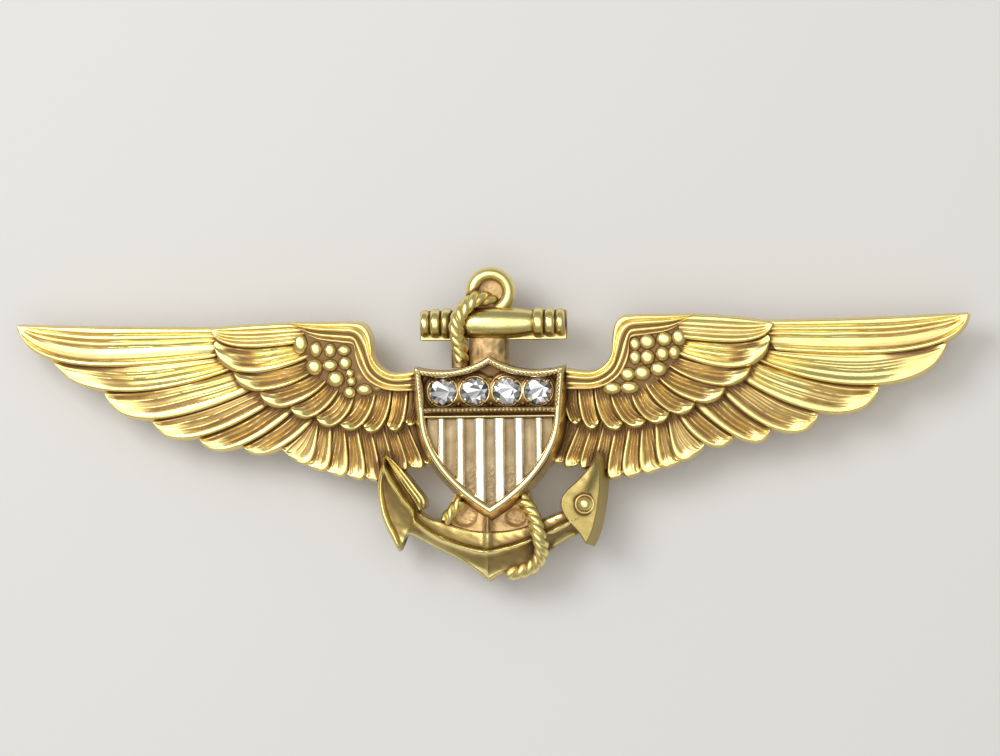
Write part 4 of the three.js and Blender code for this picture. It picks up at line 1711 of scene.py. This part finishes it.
@dataclass
class Anchor:
    """The fouled anchor behind the shield: shank, arms, flukes, stock, ring and the cable wound over it.

    Attributes:
        base: Height of the flat back. The other heights are above it.
        stock_y: Y of the stock.
        stock_z: Height of the stock's axis.
        ring_at: The ring's middle.
        ring_radius: Radius of the ring's wire line.
        wire: Radius of its wire.
        crown: The anchor's lowest point.
        rivet: Place of the palm's rivet.
        dimples: The web's sunk dimples: place and radius.
        lay: Length of the cable's full twist.
        upper_route: The cable from the ring's eye over the stock and under the shield.
        right_route: The cable from under the shield over the right arm to the crown.
        left_route: The cable's short end.
    """

    base: float
    stock_y: float = 7.45
    stock_z: float = 1.3
    ring_at: tuple = (-0.15, 9.75)
    ring_radius: float = 1.34
    wire: float = 0.49
    crown: tuple = (-0.5, -11.5)
    rivet: tuple = (6.72, -5.95)
    dimples: tuple = ((-2.2, -6.75, 0.85), (1.6, -6.85, 0.75))
    lay: float = 2.2
    upper_route: tuple = (
        (0.0, 8.95, 1.15), (-0.55, 9.25, 1.6), (-1.2, 9.2, 2.15), (-1.85, 8.7, 2.6), (-2.35, 8.0, 2.95),
        (-2.57, 7.2, 2.95), (-2.5, 6.3, 2.6), (-2.35, 5.5, 2.2), (-2.3, 4.75, 1.9),
    )
    right_route: tuple = (
        (2.0, -5.45, 1.6), (2.7, -6.4, 1.95), (3.1, -7.4, 2.35), (3.35, -8.3, 2.5), (3.5, -9.1, 2.0),
        (3.3, -9.9, 1.4), (2.7, -10.5, 1.0), (1.8, -10.85, 0.85), (0.9, -10.95, 0.8),
    )
    left_route: tuple = ((-2.4, -5.6, 1.6), (-3.1, -6.4, 1.6), (-3.65, -7.1, 1.65))

    def body(self) -> Shell:
        """Both arms and the left fluke with its barb."""
        return Shell.joined([self._left_arm(), self._right_arm(), self._barb()])

    def middle(self) -> Shell:
        """The shank and the web between the arms, both left satin."""
        return Shell.joined([*self._shank(), self._web()])

    def _shank(self) -> list:
        """The shank above the shield, its thinner stretch behind it, and the backing under the cable.

        Returns:
            Their shells.
        """

        def tops(u: Array, v: Array, xy: Array) -> Array:
            """A full round top, slightly uneven."""
            return self.base + 1.4 + 0.36 * (1 - np.abs(2 * v - 1) ** 2) + 0.06 * ripple(xy, 5, 0.7)

        def bar(left: float, right: float, high: float) -> Shell:
            """One stretch from the stock's side down to the shield."""
            lines = [np.linspace((x, high), (x, 4.2), 30) for x in (right, left)]
            return strip(*lines, tops, self.base + 0.02 + 0.001 * high, 24, back_rim=True)

        def level(u: Array, v: Array, xy: Array) -> Array:
            """Level."""
            return self.base + 1.02 + 0 * u

        left = np.linspace((-1.7, 4.5), (-1.4, -5.2), 12)
        right = np.linspace((0.95, 4.5), (0.6, -5.2), 12)
        spine = strip(right, left, level, self.base + 0.03, 12, flare=0.0)
        return [bar(-1.75, 1.0, 7.0), bar(-3.05, -1.9, 5.5), spine]

    def _web(self) -> Shell:
        """The plate between the shield's point and the arms, with a rough dimple beside its rib on each side.

        Returns:
            Its shell.
        """
        lower = spline([(3.5, -7.9), (2.4, -8.4), (-0.5, -8.9), (-2.6, -8.5), (-3.9, -7.7)], 80)
        upper = spline([(2.5, -4.9), (1.4, -4.7), (-0.3, -4.6), (-1.8, -4.7), (-2.9, -4.9)], 80)

        def tops(u: Array, v: Array, xy: Array) -> Array:
            """A slope with its dimples and its middle rib."""
            x, y = xy[..., 0], xy[..., 1]
            z = self.base + 1.2 + 0.25 * smoothstep(-6.9, -8.2, y) + 0.02 * ripple(xy, 11, 0.6)
            for at_x, at_y, radius in self.dimples:
                q = np.hypot((x - at_x) / 1.15, y - at_y) / radius
                rough = 0.07 * ripple(xy, 12, 0.3, 30) * (1 - smoothstep(0.85, 1.1, q))
                z = z - 0.22 * (1 - smoothstep(0.62, 1.05, q)) + rough
            return z + 0.4 * np.exp(-(((x + 0.5) / (0.22 + 0.14 * smoothstep(-6.5, -9.0, y))) ** 2))

        return strip(lower, upper, tops, self.base + 0.03, 80, back_rim=True)

    def _left_arm(self) -> Shell:
        """The left arm and its fluke, on one crest from the crown up to the fluke's tip.

        Returns:
            Their shell.
        """
        lower = [
            self.crown, (-1.4, -10.75), (-2.5, -10.0), (-3.5, -9.45), (-4.4, -9.0), (-5.3, -8.5),
            (-6.0, -8.1), (-6.45, -8.05), (-6.8, -8.45), (-7.08, -9.2), (-7.5, -8.45), (-8.0, -7.5),
            (-8.4, -6.3), (-8.6, -4.8), (-8.45, -3.4), (-8.1, -2.2),
        ]
        crest = [
            (-0.5, -9.45), (-1.4, -9.3), (-2.4, -9.02), (-3.3, -8.7), (-4.1, -8.35), (-4.8, -7.95),
            (-5.3, -7.6), (-5.75, -7.2), (-6.2, -6.75), (-6.6, -6.3), (-7.0, -5.75), (-7.3, -5.2),
            (-7.6, -4.5), (-7.85, -3.8), (-8.0, -3.1), (-8.08, -2.3),
        ]
        upper = [
            (-0.5, -7.9), (-1.4, -7.85), (-2.3, -7.65), (-3.1, -7.4), (-3.8, -7.15), (-4.4, -7.0),
            (-4.9, -6.85), (-5.3, -6.6), (-5.6, -6.35), (-5.75, -6.0), (-6.0, -5.6), (-6.4, -5.0),
            (-6.8, -4.3), (-7.3, -3.5), (-7.7, -2.9), (-8.04, -2.25),
        ]
        return roof(lower, crest, upper, self.base, (1.35, 2.1, 1.65), 0.01, outer=0.42)

    def _right_arm(self) -> Shell:
        """The right arm, from the crown to under the palm.

        Returns:
            Its shell.
        """
        lower = [
            self.crown, (0.4, -11.0), (1.6, -10.6), (2.9, -10.0), (4.0, -9.25), (5.1, -8.55), (6.6, -7.8),
        ]
        crest = [
            (-0.5, -9.45), (0.7, -9.2), (1.8, -8.9), (2.9, -8.5), (3.84, -8.1), (4.92, -7.55), (6.2, -7.0),
        ]
        upper = [
            (-0.5, -7.9), (0.9, -7.85), (1.9, -7.65), (2.9, -7.35), (3.8, -7.0), (4.9, -6.55), (6.0, -6.3),
        ]
        return roof(upper, crest, lower, self.base, (1.65, 2.1, 1.1), 0.02)

    def _barb(self) -> Shell:
        """The left fluke's inner barb, a narrow blade with fine lines, a little below the crest.

        Returns:
            Its shell.
        """
        left = [(-5.95, -6.45), (-6.3, -5.7), (-6.8, -4.9), (-7.3, -4.0), (-7.75, -3.1), (-8.02, -2.4)]
        crest = [(-5.5, -6.2), (-5.9, -5.4), (-6.5, -4.6), (-7.05, -3.8), (-7.6, -3.0), (-7.98, -2.35)]
        right = [(-5.05, -6.1), (-5.15, -5.45), (-5.85, -4.5), (-6.55, -3.6), (-7.3, -2.75), (-7.93, -2.2)]
        return roof(left, crest, right, self.base, (1.55, 1.8, 1.7), 0.05, 0.12)

    def palm(self) -> Shell:
        """The right fluke's palm, with a crest from its tip down to the rivet.

        Returns:
            Its shell.
        """
        left = spline([
            (6.75, -8.85), (6.2, -8.0), (5.4, -7.1), (4.98, -6.3), (5.0, -5.5), (5.5, -4.85), (6.3, -4.1),
            (7.1, -3.2), (7.78, -2.2),
        ], 110)
        right = spline([
            (6.85, -8.85), (7.25, -8.0), (7.55, -6.9), (7.75, -5.8), (7.88, -4.7), (7.92, -3.8),
            (7.92, -3.0), (7.82, -2.2),
        ], 110)
        x, y = self.rivet

        def tops(u: Array, v: Array, xy: Array) -> Array:
            """A level plate with a ridge above the rivet."""
            crest = x + 0.95 * smoothstep(y, -2.5, xy[..., 1])
            begun = smoothstep(y + 0.2, y + 1.5, xy[..., 1])
            ridge = 0.3 * np.exp(-np.abs(xy[..., 0] - crest) / 0.35) * begun
            return self.base + 2.25 + ridge + 0.035 * ripple(xy, 31, 1.1)

        floor = self.base + 0.06
        return strip(left, right, tops, floor, 60, flare=0.5, rim=0.14, back_rim=True, back_flare=0.1)

    def palm_rivet(self) -> Shell:
        """A domed rivet in a thin washer.

        Returns:
            Its shell.
        """
        profile = [
            (0.0, 0.3), (0.3, 0.3), (0.3, 2.3), (0.74, 2.3), (0.74, 2.42), (0.62, 2.46), (0.58, 2.4),
            (0.54, 2.58), (0.44, 2.8), (0.25, 2.93), (0.0, 2.97),
        ]
        return turned(softened(profile, 0.05), 40).moved(*self.rivet, self.base)

    def stock(self) -> Shell:
        """The half-round stock with its turned bands, on a thin slab.

        Returns:
            One shell of both.
        """
        half = [
            (1.19, 0.9), (1.1, 1.8), (0.98, 2.6), (0.92, 2.88), (0.84, 2.97), (1.06, 3.06), (1.12, 3.2),
            (1.12, 3.6), (1.04, 3.72), (0.84, 3.82), (1.02, 3.92), (1.08, 4.05), (1.08, 4.4), (1.0, 4.54),
            (0.8, 4.64), (0.94, 4.74), (1.02, 4.86), (1.02, 5.16), (0.9, 5.3), (0.0, 5.34),
        ]
        profile = [(r, -h) for r, h in half[::-1]] + [(1.22, 0.0)] + half
        rings = turned(softened(profile, 0.07, 3), 72, "x")
        rings.points[:, 2] = np.maximum(rings.points[:, 2], -0.55)
        bar = rings.moved(0, self.stock_y, self.base + self.stock_z)
        low = (-5.4, self.stock_y - 1.24, self.base + 0.04)
        high = (5.42, self.stock_y + 0.95, self.base + 0.8)
        return Shell.joined([bar, slab(low, high, 0.15, 0.08)])

    def ring(self) -> Shell:
        """The ring's round wire, a little deeper than wide.

        Returns:
            Its shell.
        """
        a = around(96)[:, None]
        b = around(24)[None]
        out = self.ring_radius + self.wire * np.cos(b)
        z = 1.15 + self.wire * 1.15 * np.sin(b) + 0 * a
        rings = np.stack([out * np.cos(a), out * np.sin(a), z], axis=-1)
        return Shell.loop(rings).moved(*self.ring_at, self.base)

    def eye(self) -> Shell:
        """The rough sunk floor that closes the ring's eye.

        Returns:
            Its shell.
        """
        a = around(96)[:, None]
        q = np.linspace(0, 1, 14)[:, None]
        xy = np.stack([1.35 * q * np.cos(a.T), 1.35 * q * np.sin(a.T)], axis=-1)
        z = 0.95 - 0.12 * (1 - q**2) + 0.04 * ripple(xy, 17, 0.35, 24)
        floor = np.concatenate([xy, z[..., None]], axis=-1)[1:]
        wall = np.stack([floor[-1] * [1.08, 1.08, 0] + [0, 0, h] for h in (0.7, 0.03)])
        return Shell.rings(np.concatenate([floor, wall])).moved(*self.ring_at, self.base)

    def cable(self, route: tuple, radius: float = 0.55) -> Shell:
        """One stretch of the cable."""
        return rope(list(route), radius, self.lay).moved(z=self.base)


# ------------------------------------------------------------------ fittings at the back


def slab(low: tuple, high: tuple, corner: float, bevel: float) -> Shell:
    """A box with round upright corners and rounded upper and lower edges.

    Args:
        low: Lowest corner.
        high: Highest corner.
        corner: Radius of the upright corners.
        bevel: Radius of the other edges.

    Returns:
        The shell.
    """
    middle, half = (np.add(low, high) / 2, np.subtract(high, low) / 2)
    a = around(48)
    turn = np.linspace(0, np.pi / 2, 5)
    rise = bevel * (1 - np.cos(turn))
    insets = np.concatenate([[corner * 0.8], bevel * (1 - np.sin(turn)), rise, [corner * 0.8]])
    heights = np.concatenate([[-half[2]], -half[2] + rise, half[2] - bevel + bevel * np.sin(turn), [half[2]]])
    core = half[:2] - corner
    x = np.sign(np.cos(a)) * core[0]
    y = np.sign(np.sin(a)) * core[1]
    out = (corner - insets)[:, None]
    rings = np.stack([x + out * np.cos(a), y + out * np.sin(a), heights[:, None] + 0 * a], axis=-1)
    return Shell.rings(rings + middle)


def cheek(angles: tuple, radii: tuple, low: float, high: float, bevel: float = 0.08) -> Array:
    """Sections of a bored plate, one for each angle round its bore: a rectangle with its corners cut.

    Args:
        angles: Angles of the inner and the outer points, two arrays.
        radii: Radii of the inner and the outer points, two arrays.
        low: Where the plate begins along the bore.
        high: Where it ends.
        bevel: Size of the cut corners.

    Returns:
        Sections as points across, up and along the bore, shape (angles, 8, 3).
    """
    inner, outer = (
        np.stack([r * np.sin(a), -r * np.cos(a)], axis=-1) for r, a in zip(radii, angles)
    )
    step = bevel / np.maximum(np.linalg.norm(outer - inner, axis=1), 1e-6)[:, None]
    near, far = inner + step * (outer - inner), outer - step * (outer - inner)
    order = [
        (inner, low + bevel), (near, low), (far, low), (outer, low + bevel), (outer, high - bevel),
        (far, high), (near, high), (inner, high - bevel),
    ]
    return np.stack([np.column_stack([flat, np.full(len(flat), z)]) for flat, z in order], axis=1)


def radius_of(corners: list, radius: float, angles: Array) -> Array:
    """How far a rounded flat outline reaches from the origin in each direction, measured from straight down.

    Args:
        corners: The outline's corners, anticlockwise round the origin.
        radius: Radius of its corners.
        angles: Directions, 0 down and growing anticlockwise.

    Returns:
        Distances.
    """
    ring = np.asarray(softened([*corners, corners[0]], radius, 8))
    dense = np.concatenate([np.linspace(a, b, 30) for a, b in zip(ring[:-1], ring[1:])])
    at = np.arctan2(dense[:, 0], -dense[:, 1]) % (2 * np.pi)
    order = np.argsort(at)
    return np.interp(angles % (2 * np.pi), at[order], np.linalg.norm(dense, axis=1)[order], period=2 * np.pi)


@dataclass
class Fittings:
    """The hinge, the pin and the safety catch soldered to the flat back.

    Attributes:
        top: Height of the faces that are soldered on.
        y: Y of the pin's axis.
        z: Height of the pin's axis.
        pin_radius: Radius of the stem.
        taper: Length of its point.
        hinge_x: X of the hinge.
        catch_x: X of the catch.
        tip_x: X of the pin's tip.
        base_deep: Depth of each fitting's base.
        ear: From the middle to the near and the far side of an ear.
        rivet_radius: Radius of the hinge's rivet.
        play: How much wider its bores are than the rivet.
        knuckle: Radius of the pin's knuckle.
        catch_half: Half of the catch's length.
        catch_wide: Half of its width.
        cheek_wide: Thickness of its cheeks.
        bore: Radius of its bore.
        slot: Width of its slot.
        sleeve_bore: Radius of the rotor's own bore.
        sleeve: Radius of the rotor's sleeve.
        flange: Radius of the rotor's flange.
        gap: Left between moving parts along the axis.
        tab_turn: How far the rotor's tab stands turned from straight down, in degrees.
    """

    top: float
    y: float = 1.9
    z: float = 1.6
    pin_radius: float = 0.45
    taper: float = 4.0
    hinge_x: float = -19.0
    catch_x: float = 19.0
    tip_x: float = 22.4
    base_deep: float = 0.45
    ear: tuple = (1.3, 2.0)
    rivet_radius: float = 0.4
    play: float = 0.05
    knuckle: float = 0.95
    catch_half: float = 1.5
    catch_wide: float = 1.9
    cheek_wide: float = 0.7
    bore: float = 1.0
    slot: float = 1.15
    sleeve_bore: float = 0.6
    sleeve: float = 0.95
    flange: float = 1.2
    gap: float = 0.06
    tab_turn: float = -75.0

    def bracket(self) -> Shell:
        """Two bored ears on a base, with a wall across their end that stops the open pin.

        Returns:
            One shell of closed bodies.
        """
        up = self.top - self.z
        corners = [(0.0, -self.z), (1.3, -self.z), (1.3, 0.9), (1.9, up), (-1.6, up), (-1.6, -self.z)]
        a = around(96)
        near, far = self.ear
        parts = [self._bored(a, radius_of(corners, 0.55, a), ends) for ends in ((-far, -near), (near, far))]
        x, y = self.hinge_x, self.y
        wall_low, wall_high = (x - 1.6, y - near - 0.1, 0.25), (x - 1.2, y + near + 0.1, self.top - 0.1)
        foot_low, foot_high = (x - 1.6, y - far, self.top - self.base_deep), (x + 1.9, y + far, self.top)
        parts.append(slab(foot_low, foot_high, 0.3, 0.1))
        parts.append(slab(wall_low, wall_high, 0.12, 0.06))
        return Shell.joined(parts)

    def _bored(self, angles: Array, outer: Array, ends: tuple) -> Shell:
        """A plate round the hinge's rivet, across the badge.

        Args:
            angles: Directions round the rivet.
            outer: How far the plate reaches in each.
            ends: Where it begins and ends along the rivet.

        Returns:
            Its shell.
        """
        inner = np.full(len(angles), self.rivet_radius + self.play)
        ring = cheek((angles, angles), (inner, outer), *ends)
        return Shell.loop(ring[..., [0, 2, 1]] + [self.hinge_x, self.y, self.z])

    def rivet(self) -> Shell:
        """The hinge's rivet, with a low dome outside each ear.

        Returns:
            Its shell.
        """
        r, far = self.rivet_radius, self.ear[1] + self.gap
        head = [(0.66, 0), (0.66, 0.12), (0.5, 0.26), (0.25, 0.3), (0, 0.3)]
        half = [(r, far), *((radius, far + rise) for radius, rise in head)]
        profile = [(r, -h) for r, h in half[::-1]] + half
        return turned(softened(profile, 0.05), 40, "y").moved(self.hinge_x, self.y, self.z)

    def pin(self) -> Shell:
        """The pin: a bored knuckle and a straight stem drawn to a point.

        Returns:
            One shell of both.
        """
        start, tip, r = self.hinge_x + 0.6, self.tip_x, self.pin_radius
        point = [(r * (1 - k**2.2) + 0.04, tip - self.taper + self.taper * k) for k in np.linspace(0, 1, 24)]
        stem = turned([(0, start), (r, start), *point, (0, tip)], 32, "x").moved(0, self.y, self.z)
        a = around(64)
        wide = self.ear[0] - self.gap
        return Shell.joined([stem, self._bored(a, np.full(64, self.knuckle), (-wide, wide))])

    def _slotted(self, radii: tuple, flat: float, corners: list, ends: tuple, bevel: float = 0.08) -> Shell:
        """A bored plate with a slot down from its bore, round the pin's line at the catch.

        Args:
            radii: Radii of its bore and of its outside.
            flat: How far below the axis the slot meets the outside.
            corners: The outside's corners, none if it is round.
            ends: Where it begins and ends along the pin.
            bevel: Size of its cut corners.

        Returns:
            Its shell.
        """
        half, count = self.slot / 2, 72
        t = np.linspace(0, 1, count)
        starts = math.asin(half / radii[0]), math.atan2(half, flat)
        angles = tuple(s + t * (2 * np.pi - 2 * s) for s in starts)
        outer = radius_of(corners, 0.6, angles[1]) if corners else np.full(count, radii[1])
        ring = cheek(angles, (np.full(count, radii[0]), outer), *ends, bevel)
        return Shell.rings(ring[..., [2, 0, 1]] + [self.catch_x, self.y, self.z])

    def housing(self) -> Shell:
        """The catch's housing: two bored and slotted cheeks on a base.

        Returns:
            One shell of closed bodies.
        """
        up, wide, long = self.top - self.z, self.catch_wide, self.catch_half
        corners = [(0.0, -self.z), (wide, -self.z), (wide, up), (-wide, up), (-wide, -self.z)]
        starts = (-long, long - self.cheek_wide)
        radii = (self.bore, wide)
        parts = [self._slotted(radii, self.z, corners, (low, low + self.cheek_wide)) for low in starts]
        x, y = self.catch_x, self.y
        foot_low, foot_high = (x - long, y - wide, self.top - self.base_deep), (x + long, y + wide, self.top)
        return Shell.joined([*parts, slab(foot_low, foot_high, 0.3, 0.1)])

    def rotor(self) -> Shell:
        """The catch's rotor: a slit sleeve with a flange between the cheeks, and a thumb tab.

        Returns:
            One shell of closed bodies.
        """
        long = self.catch_half - self.gap
        short = self.catch_half - self.cheek_wide - self.gap
        parts = []
        for radius, half in ((self.sleeve, long), (self.flange, short)):
            flat = math.sqrt(radius**2 - (self.slot / 2) ** 2)
            parts.append(self._slotted((self.sleeve_bore, radius), flat, [], (-half, half), 0.05))
        tab = slab((-short, -0.36, -2.6), (short, 0.36, -0.98), 0.3, 0.16)
        turn = math.radians(self.tab_turn)
        y, z = tab.points[:, 1].copy(), tab.points[:, 2].copy()
        tab.points[:, 1] = y * math.cos(turn) - z * math.sin(turn)
        tab.points[:, 2] = y * math.sin(turn) + z * math.cos(turn)
        return Shell.joined([*parts, tab.moved(self.catch_x, self.y, self.z)])


# ------------------------------------------------------------------ studio


@dataclass
class Studio:
    """A pale floor, soft lights and the camera above the badge, in millimetres and degrees.

    Attributes:
        aim: The point that the camera and the light look at.
        distance: From that point to the camera.
        width: Width that the camera sees there.
        lean: How far the camera leans from straight above, along X and along Y.
        roll: How far the picture is turned.
        sensor: Width of the camera's sensor.
        floor_half: Half of the floor's side, in metres.
        paper: Colour of the floor.
        paper_rough: Roughness of the floor.
        sky: Brightness all round, as pairs of a share of the way up and a grey.
        warmth: How much blue the sky's grey has.
        sky_power: Strength of the sky.
        key_at: Place of the light.
        key_size: Its side.
        key_power: Its power in watts.
    """

    aim: tuple = (0.515, 3.386, 4.9)
    distance: float = 520.0
    width: float = 73.6
    lean: tuple = (4.0, -1.2)
    roll: float = 0.54
    sensor: float = 36.0
    floor_half: float = 1.5
    paper: tuple = (0.82, 0.81, 0.79, 1)
    paper_rough: float = 0.85
    sky: tuple = ((0.0, 0.24), (0.4, 0.17), (0.74, 0.21), (0.87, 0.46), (0.95, 1.0))
    warmth: float = 0.97
    sky_power: float = 1.7
    key_at: tuple = (-110, 90, 240)
    key_size: float = 120
    key_power: float = 0.26

    def build(self) -> None:
        """Makes the whole stage."""
        self._camera()
        self._floor()
        self._world()
        self._light()
        bpy.context.scene.view_settings.view_transform = "Standard"

    def _camera(self) -> None:
        """The camera, nearly straight above.

        Its axes are right, up and back, each square to the other two.
        """
        data = bpy.data.cameras.new("camera")
        data.sensor_width = self.sensor
        data.lens = self.sensor * self.distance / self.width
        data.clip_start, data.clip_end = 0.01, 10.0
        camera = bpy.data.objects.new("camera", data)
        bpy.context.collection.objects.link(camera)
        lean_x, lean_y = (math.tan(math.radians(a)) for a in self.lean)
        back = Vector((lean_x, lean_y, 1.0)).normalized()
        turn = math.radians(self.roll)
        right = Vector((math.sin(turn), math.cos(turn), 0.0)).cross(back).normalized()
        up = back.cross(right)
        place = Vector(self.aim) * MM + back * self.distance * MM
        rows = [[*row, at] for row, at in zip(zip(right, up, back), place)]
        camera.matrix_world = Matrix([*rows, [0, 0, 0, 1]])
        bpy.context.scene.camera = camera

    def _floor(self) -> None:
        """A plain floor of matt pale paper."""
        data = bpy.data.meshes.new("floor")
        half = self.floor_half
        data.from_pydata([
            (-half, -half, 0), (half, -half, 0), (half, half, 0), (-half, half, 0),
        ], [], [(0, 1, 2, 3)])
        made, _, shader = blank_material("paper")
        shader.inputs["Base Color"].default_value = self.paper
        shader.inputs["Roughness"].default_value = self.paper_rough
        data.materials.append(made)
        floor = bpy.data.objects.new("floor", data)
        bpy.context.collection.objects.link(floor)

    def _world(self) -> None:
        """Soft light from all round, brighter from above."""
        world = bpy.data.worlds.new("studio")
        world.use_nodes = True
        tree = world.node_tree
        where = tree.nodes.new("ShaderNodeTexCoord")
        split = tree.nodes.new("ShaderNodeSeparateXYZ")
        tree.links.new(where.outputs["Generated"], split.inputs[0])
        stops = [(place, (grey, grey, grey * self.warmth)) for place, grey in self.sky]
        background = tree.nodes["Background"]
        tree.links.new(tinted(tree, split.outputs["Z"], stops), background.inputs["Color"])
        background.inputs["Strength"].default_value = self.sky_power
        bpy.context.scene.world = world

    def _light(self) -> None:
        """A square soft light that faces the badge."""
        data = bpy.data.lights.new("key", "AREA")
        data.size = self.key_size * MM
        data.energy = self.key_power
        light = bpy.data.objects.new("key", data)
        light.location = Vector(self.key_at) * MM
        light.rotation_mode = "QUATERNION"
        light.rotation_quaternion = (Vector(self.aim) * MM - light.location).to_track_quat("-Z", "Y")
        bpy.context.collection.objects.link(light)


# ------------------------------------------------------------------ the badge


def badge_pieces(base: float, fitting_top: float) -> list:
    """Every piece of the badge.

    Args:
        base: Height of the flat back.
        fitting_top: Height of the fittings' soldered faces.

    Returns:
        The pieces, in the order in which they are built.
    """
    gold, old, satin, pan, striped, flat, fitting = (
        FINISHES[tone]
        for tone in (Tone.WING, Tone.ANCHOR, Tone.SATIN, Tone.SHIELD, Tone.STRIPE, Tone.PALM, Tone.FITTING)
    )
    left = Wing(Side.LEFT, base, LEFT_QUILLS, LEFT_SCALES, 7.6, (7.28, 7.36, 7.5), 1.009)
    right = Wing(Side.RIGHT, base, RIGHT_QUILLS, RIGHT_SCALES, 7.9, (7.42, 7.36, 7.6))
    anchor, shield, back = Anchor(base), Shield(base), Fittings(fitting_top)
    # Each piece's number for how dark its hollows are sets their patina and painted shade together.
    pieces = [
        Piece("left_wing", left.shell(), gold, "bright_gold", ("wing_left",)),
        Piece("right_wing", right.shell(), gold, "bright_gold", ("wing_right",)),
        Piece("anchor_arms", anchor.body(), old, "antique_gold", ("anchor_body",), shade_and_stain=0.5, sharp=75),
        Piece("anchor_middle", anchor.middle(), satin, "antique_gold", ("anchor_body",), shade_and_stain=0.3),
        Piece("fluke_palm", anchor.palm(), flat, "antique_gold", ("right_palm",)),
        Piece("fluke_rivet", anchor.palm_rivet(), gold, "bright_gold", ("palm_rivet",)),
        Piece("stock", anchor.stock(), old, "antique_gold", ("anchor_stock",)),
        Piece("ring", anchor.ring(), gold, "bright_gold", ("anchor_ring",)),
        Piece("ring_eye", anchor.eye(), satin, "bright_gold", ("anchor_ring",), shade_and_stain=0.3),
        Piece("cable_over_stock", anchor.cable(anchor.upper_route), gold, "bright_gold", ("cable_upper",)),
        Piece("cable_round_crown", anchor.cable(anchor.right_route), gold, "bright_gold",
              ("cable_lower_right",)),
        Piece("cable_end", anchor.cable(anchor.left_route, 0.46), gold, "bright_gold", ("cable_lower_left",)),
        Piece("shield", shield.frame(), pan, "bright_gold", ("shield_frame",), shade_and_stain=0.55),
        Piece("stripes", shield.stripes(), striped, "bright_gold", ("stripe_plate",), shade_and_stain=0.6),
        Piece("pales", shield.uprights(), striped, "bright_gold", ("stripe_plate",), even=True, plain=0.0,
              sharp=80),
        Piece("setting", shield.setting(), pan, "bright_gold", ("stone_plate",), shade_and_stain=0.6),
    ]
    stone = DiamondFinish()
    for n in range(len(shield.stones)):
        name, node = f"brilliant_{n + 1}", f"stone_{n + 1}"
        pieces.append(Piece(name, shield.stone(n), stone, "diamond", (node,), sharp=0.0, facets=61 + n))
    fittings = [
        ("hinge_ears", back.bracket(), "hinge_bracket", "badge"),
        ("hinge_pivot", back.rivet(), "hinge_rivet", "badge"),
        ("pin", back.pin(), "pin_stem", "pin"),
        ("catch_cheeks", back.housing(), "catch_housing", "badge"),
        ("catch_sleeve", back.rotor(), "catch_rotor", "rotor"),
    ]
    for name, shell, node, body in fittings:
        pieces.append(Piece(name, shell, fitting, "fitting_gold", (node,), body, front=False))
    return pieces


def main() -> None:
    """Loads the frame, builds the stage and every piece, and keeps the two sizes."""
    logging.basicConfig(level=logging.INFO, format="%(name)s: %(message)s")
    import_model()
    Studio().build()
    low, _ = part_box("wing_left")
    _, fitting_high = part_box("catch_housing")
    base = low.z / MM
    pieces = badge_pieces(base, fitting_high.z / MM)
    relief = Relief(base)
    relief.read([piece.shell for piece in pieces if piece.front])
    for piece in pieces:
        piece.build(relief)


if __name__ == "__main__":
    main()
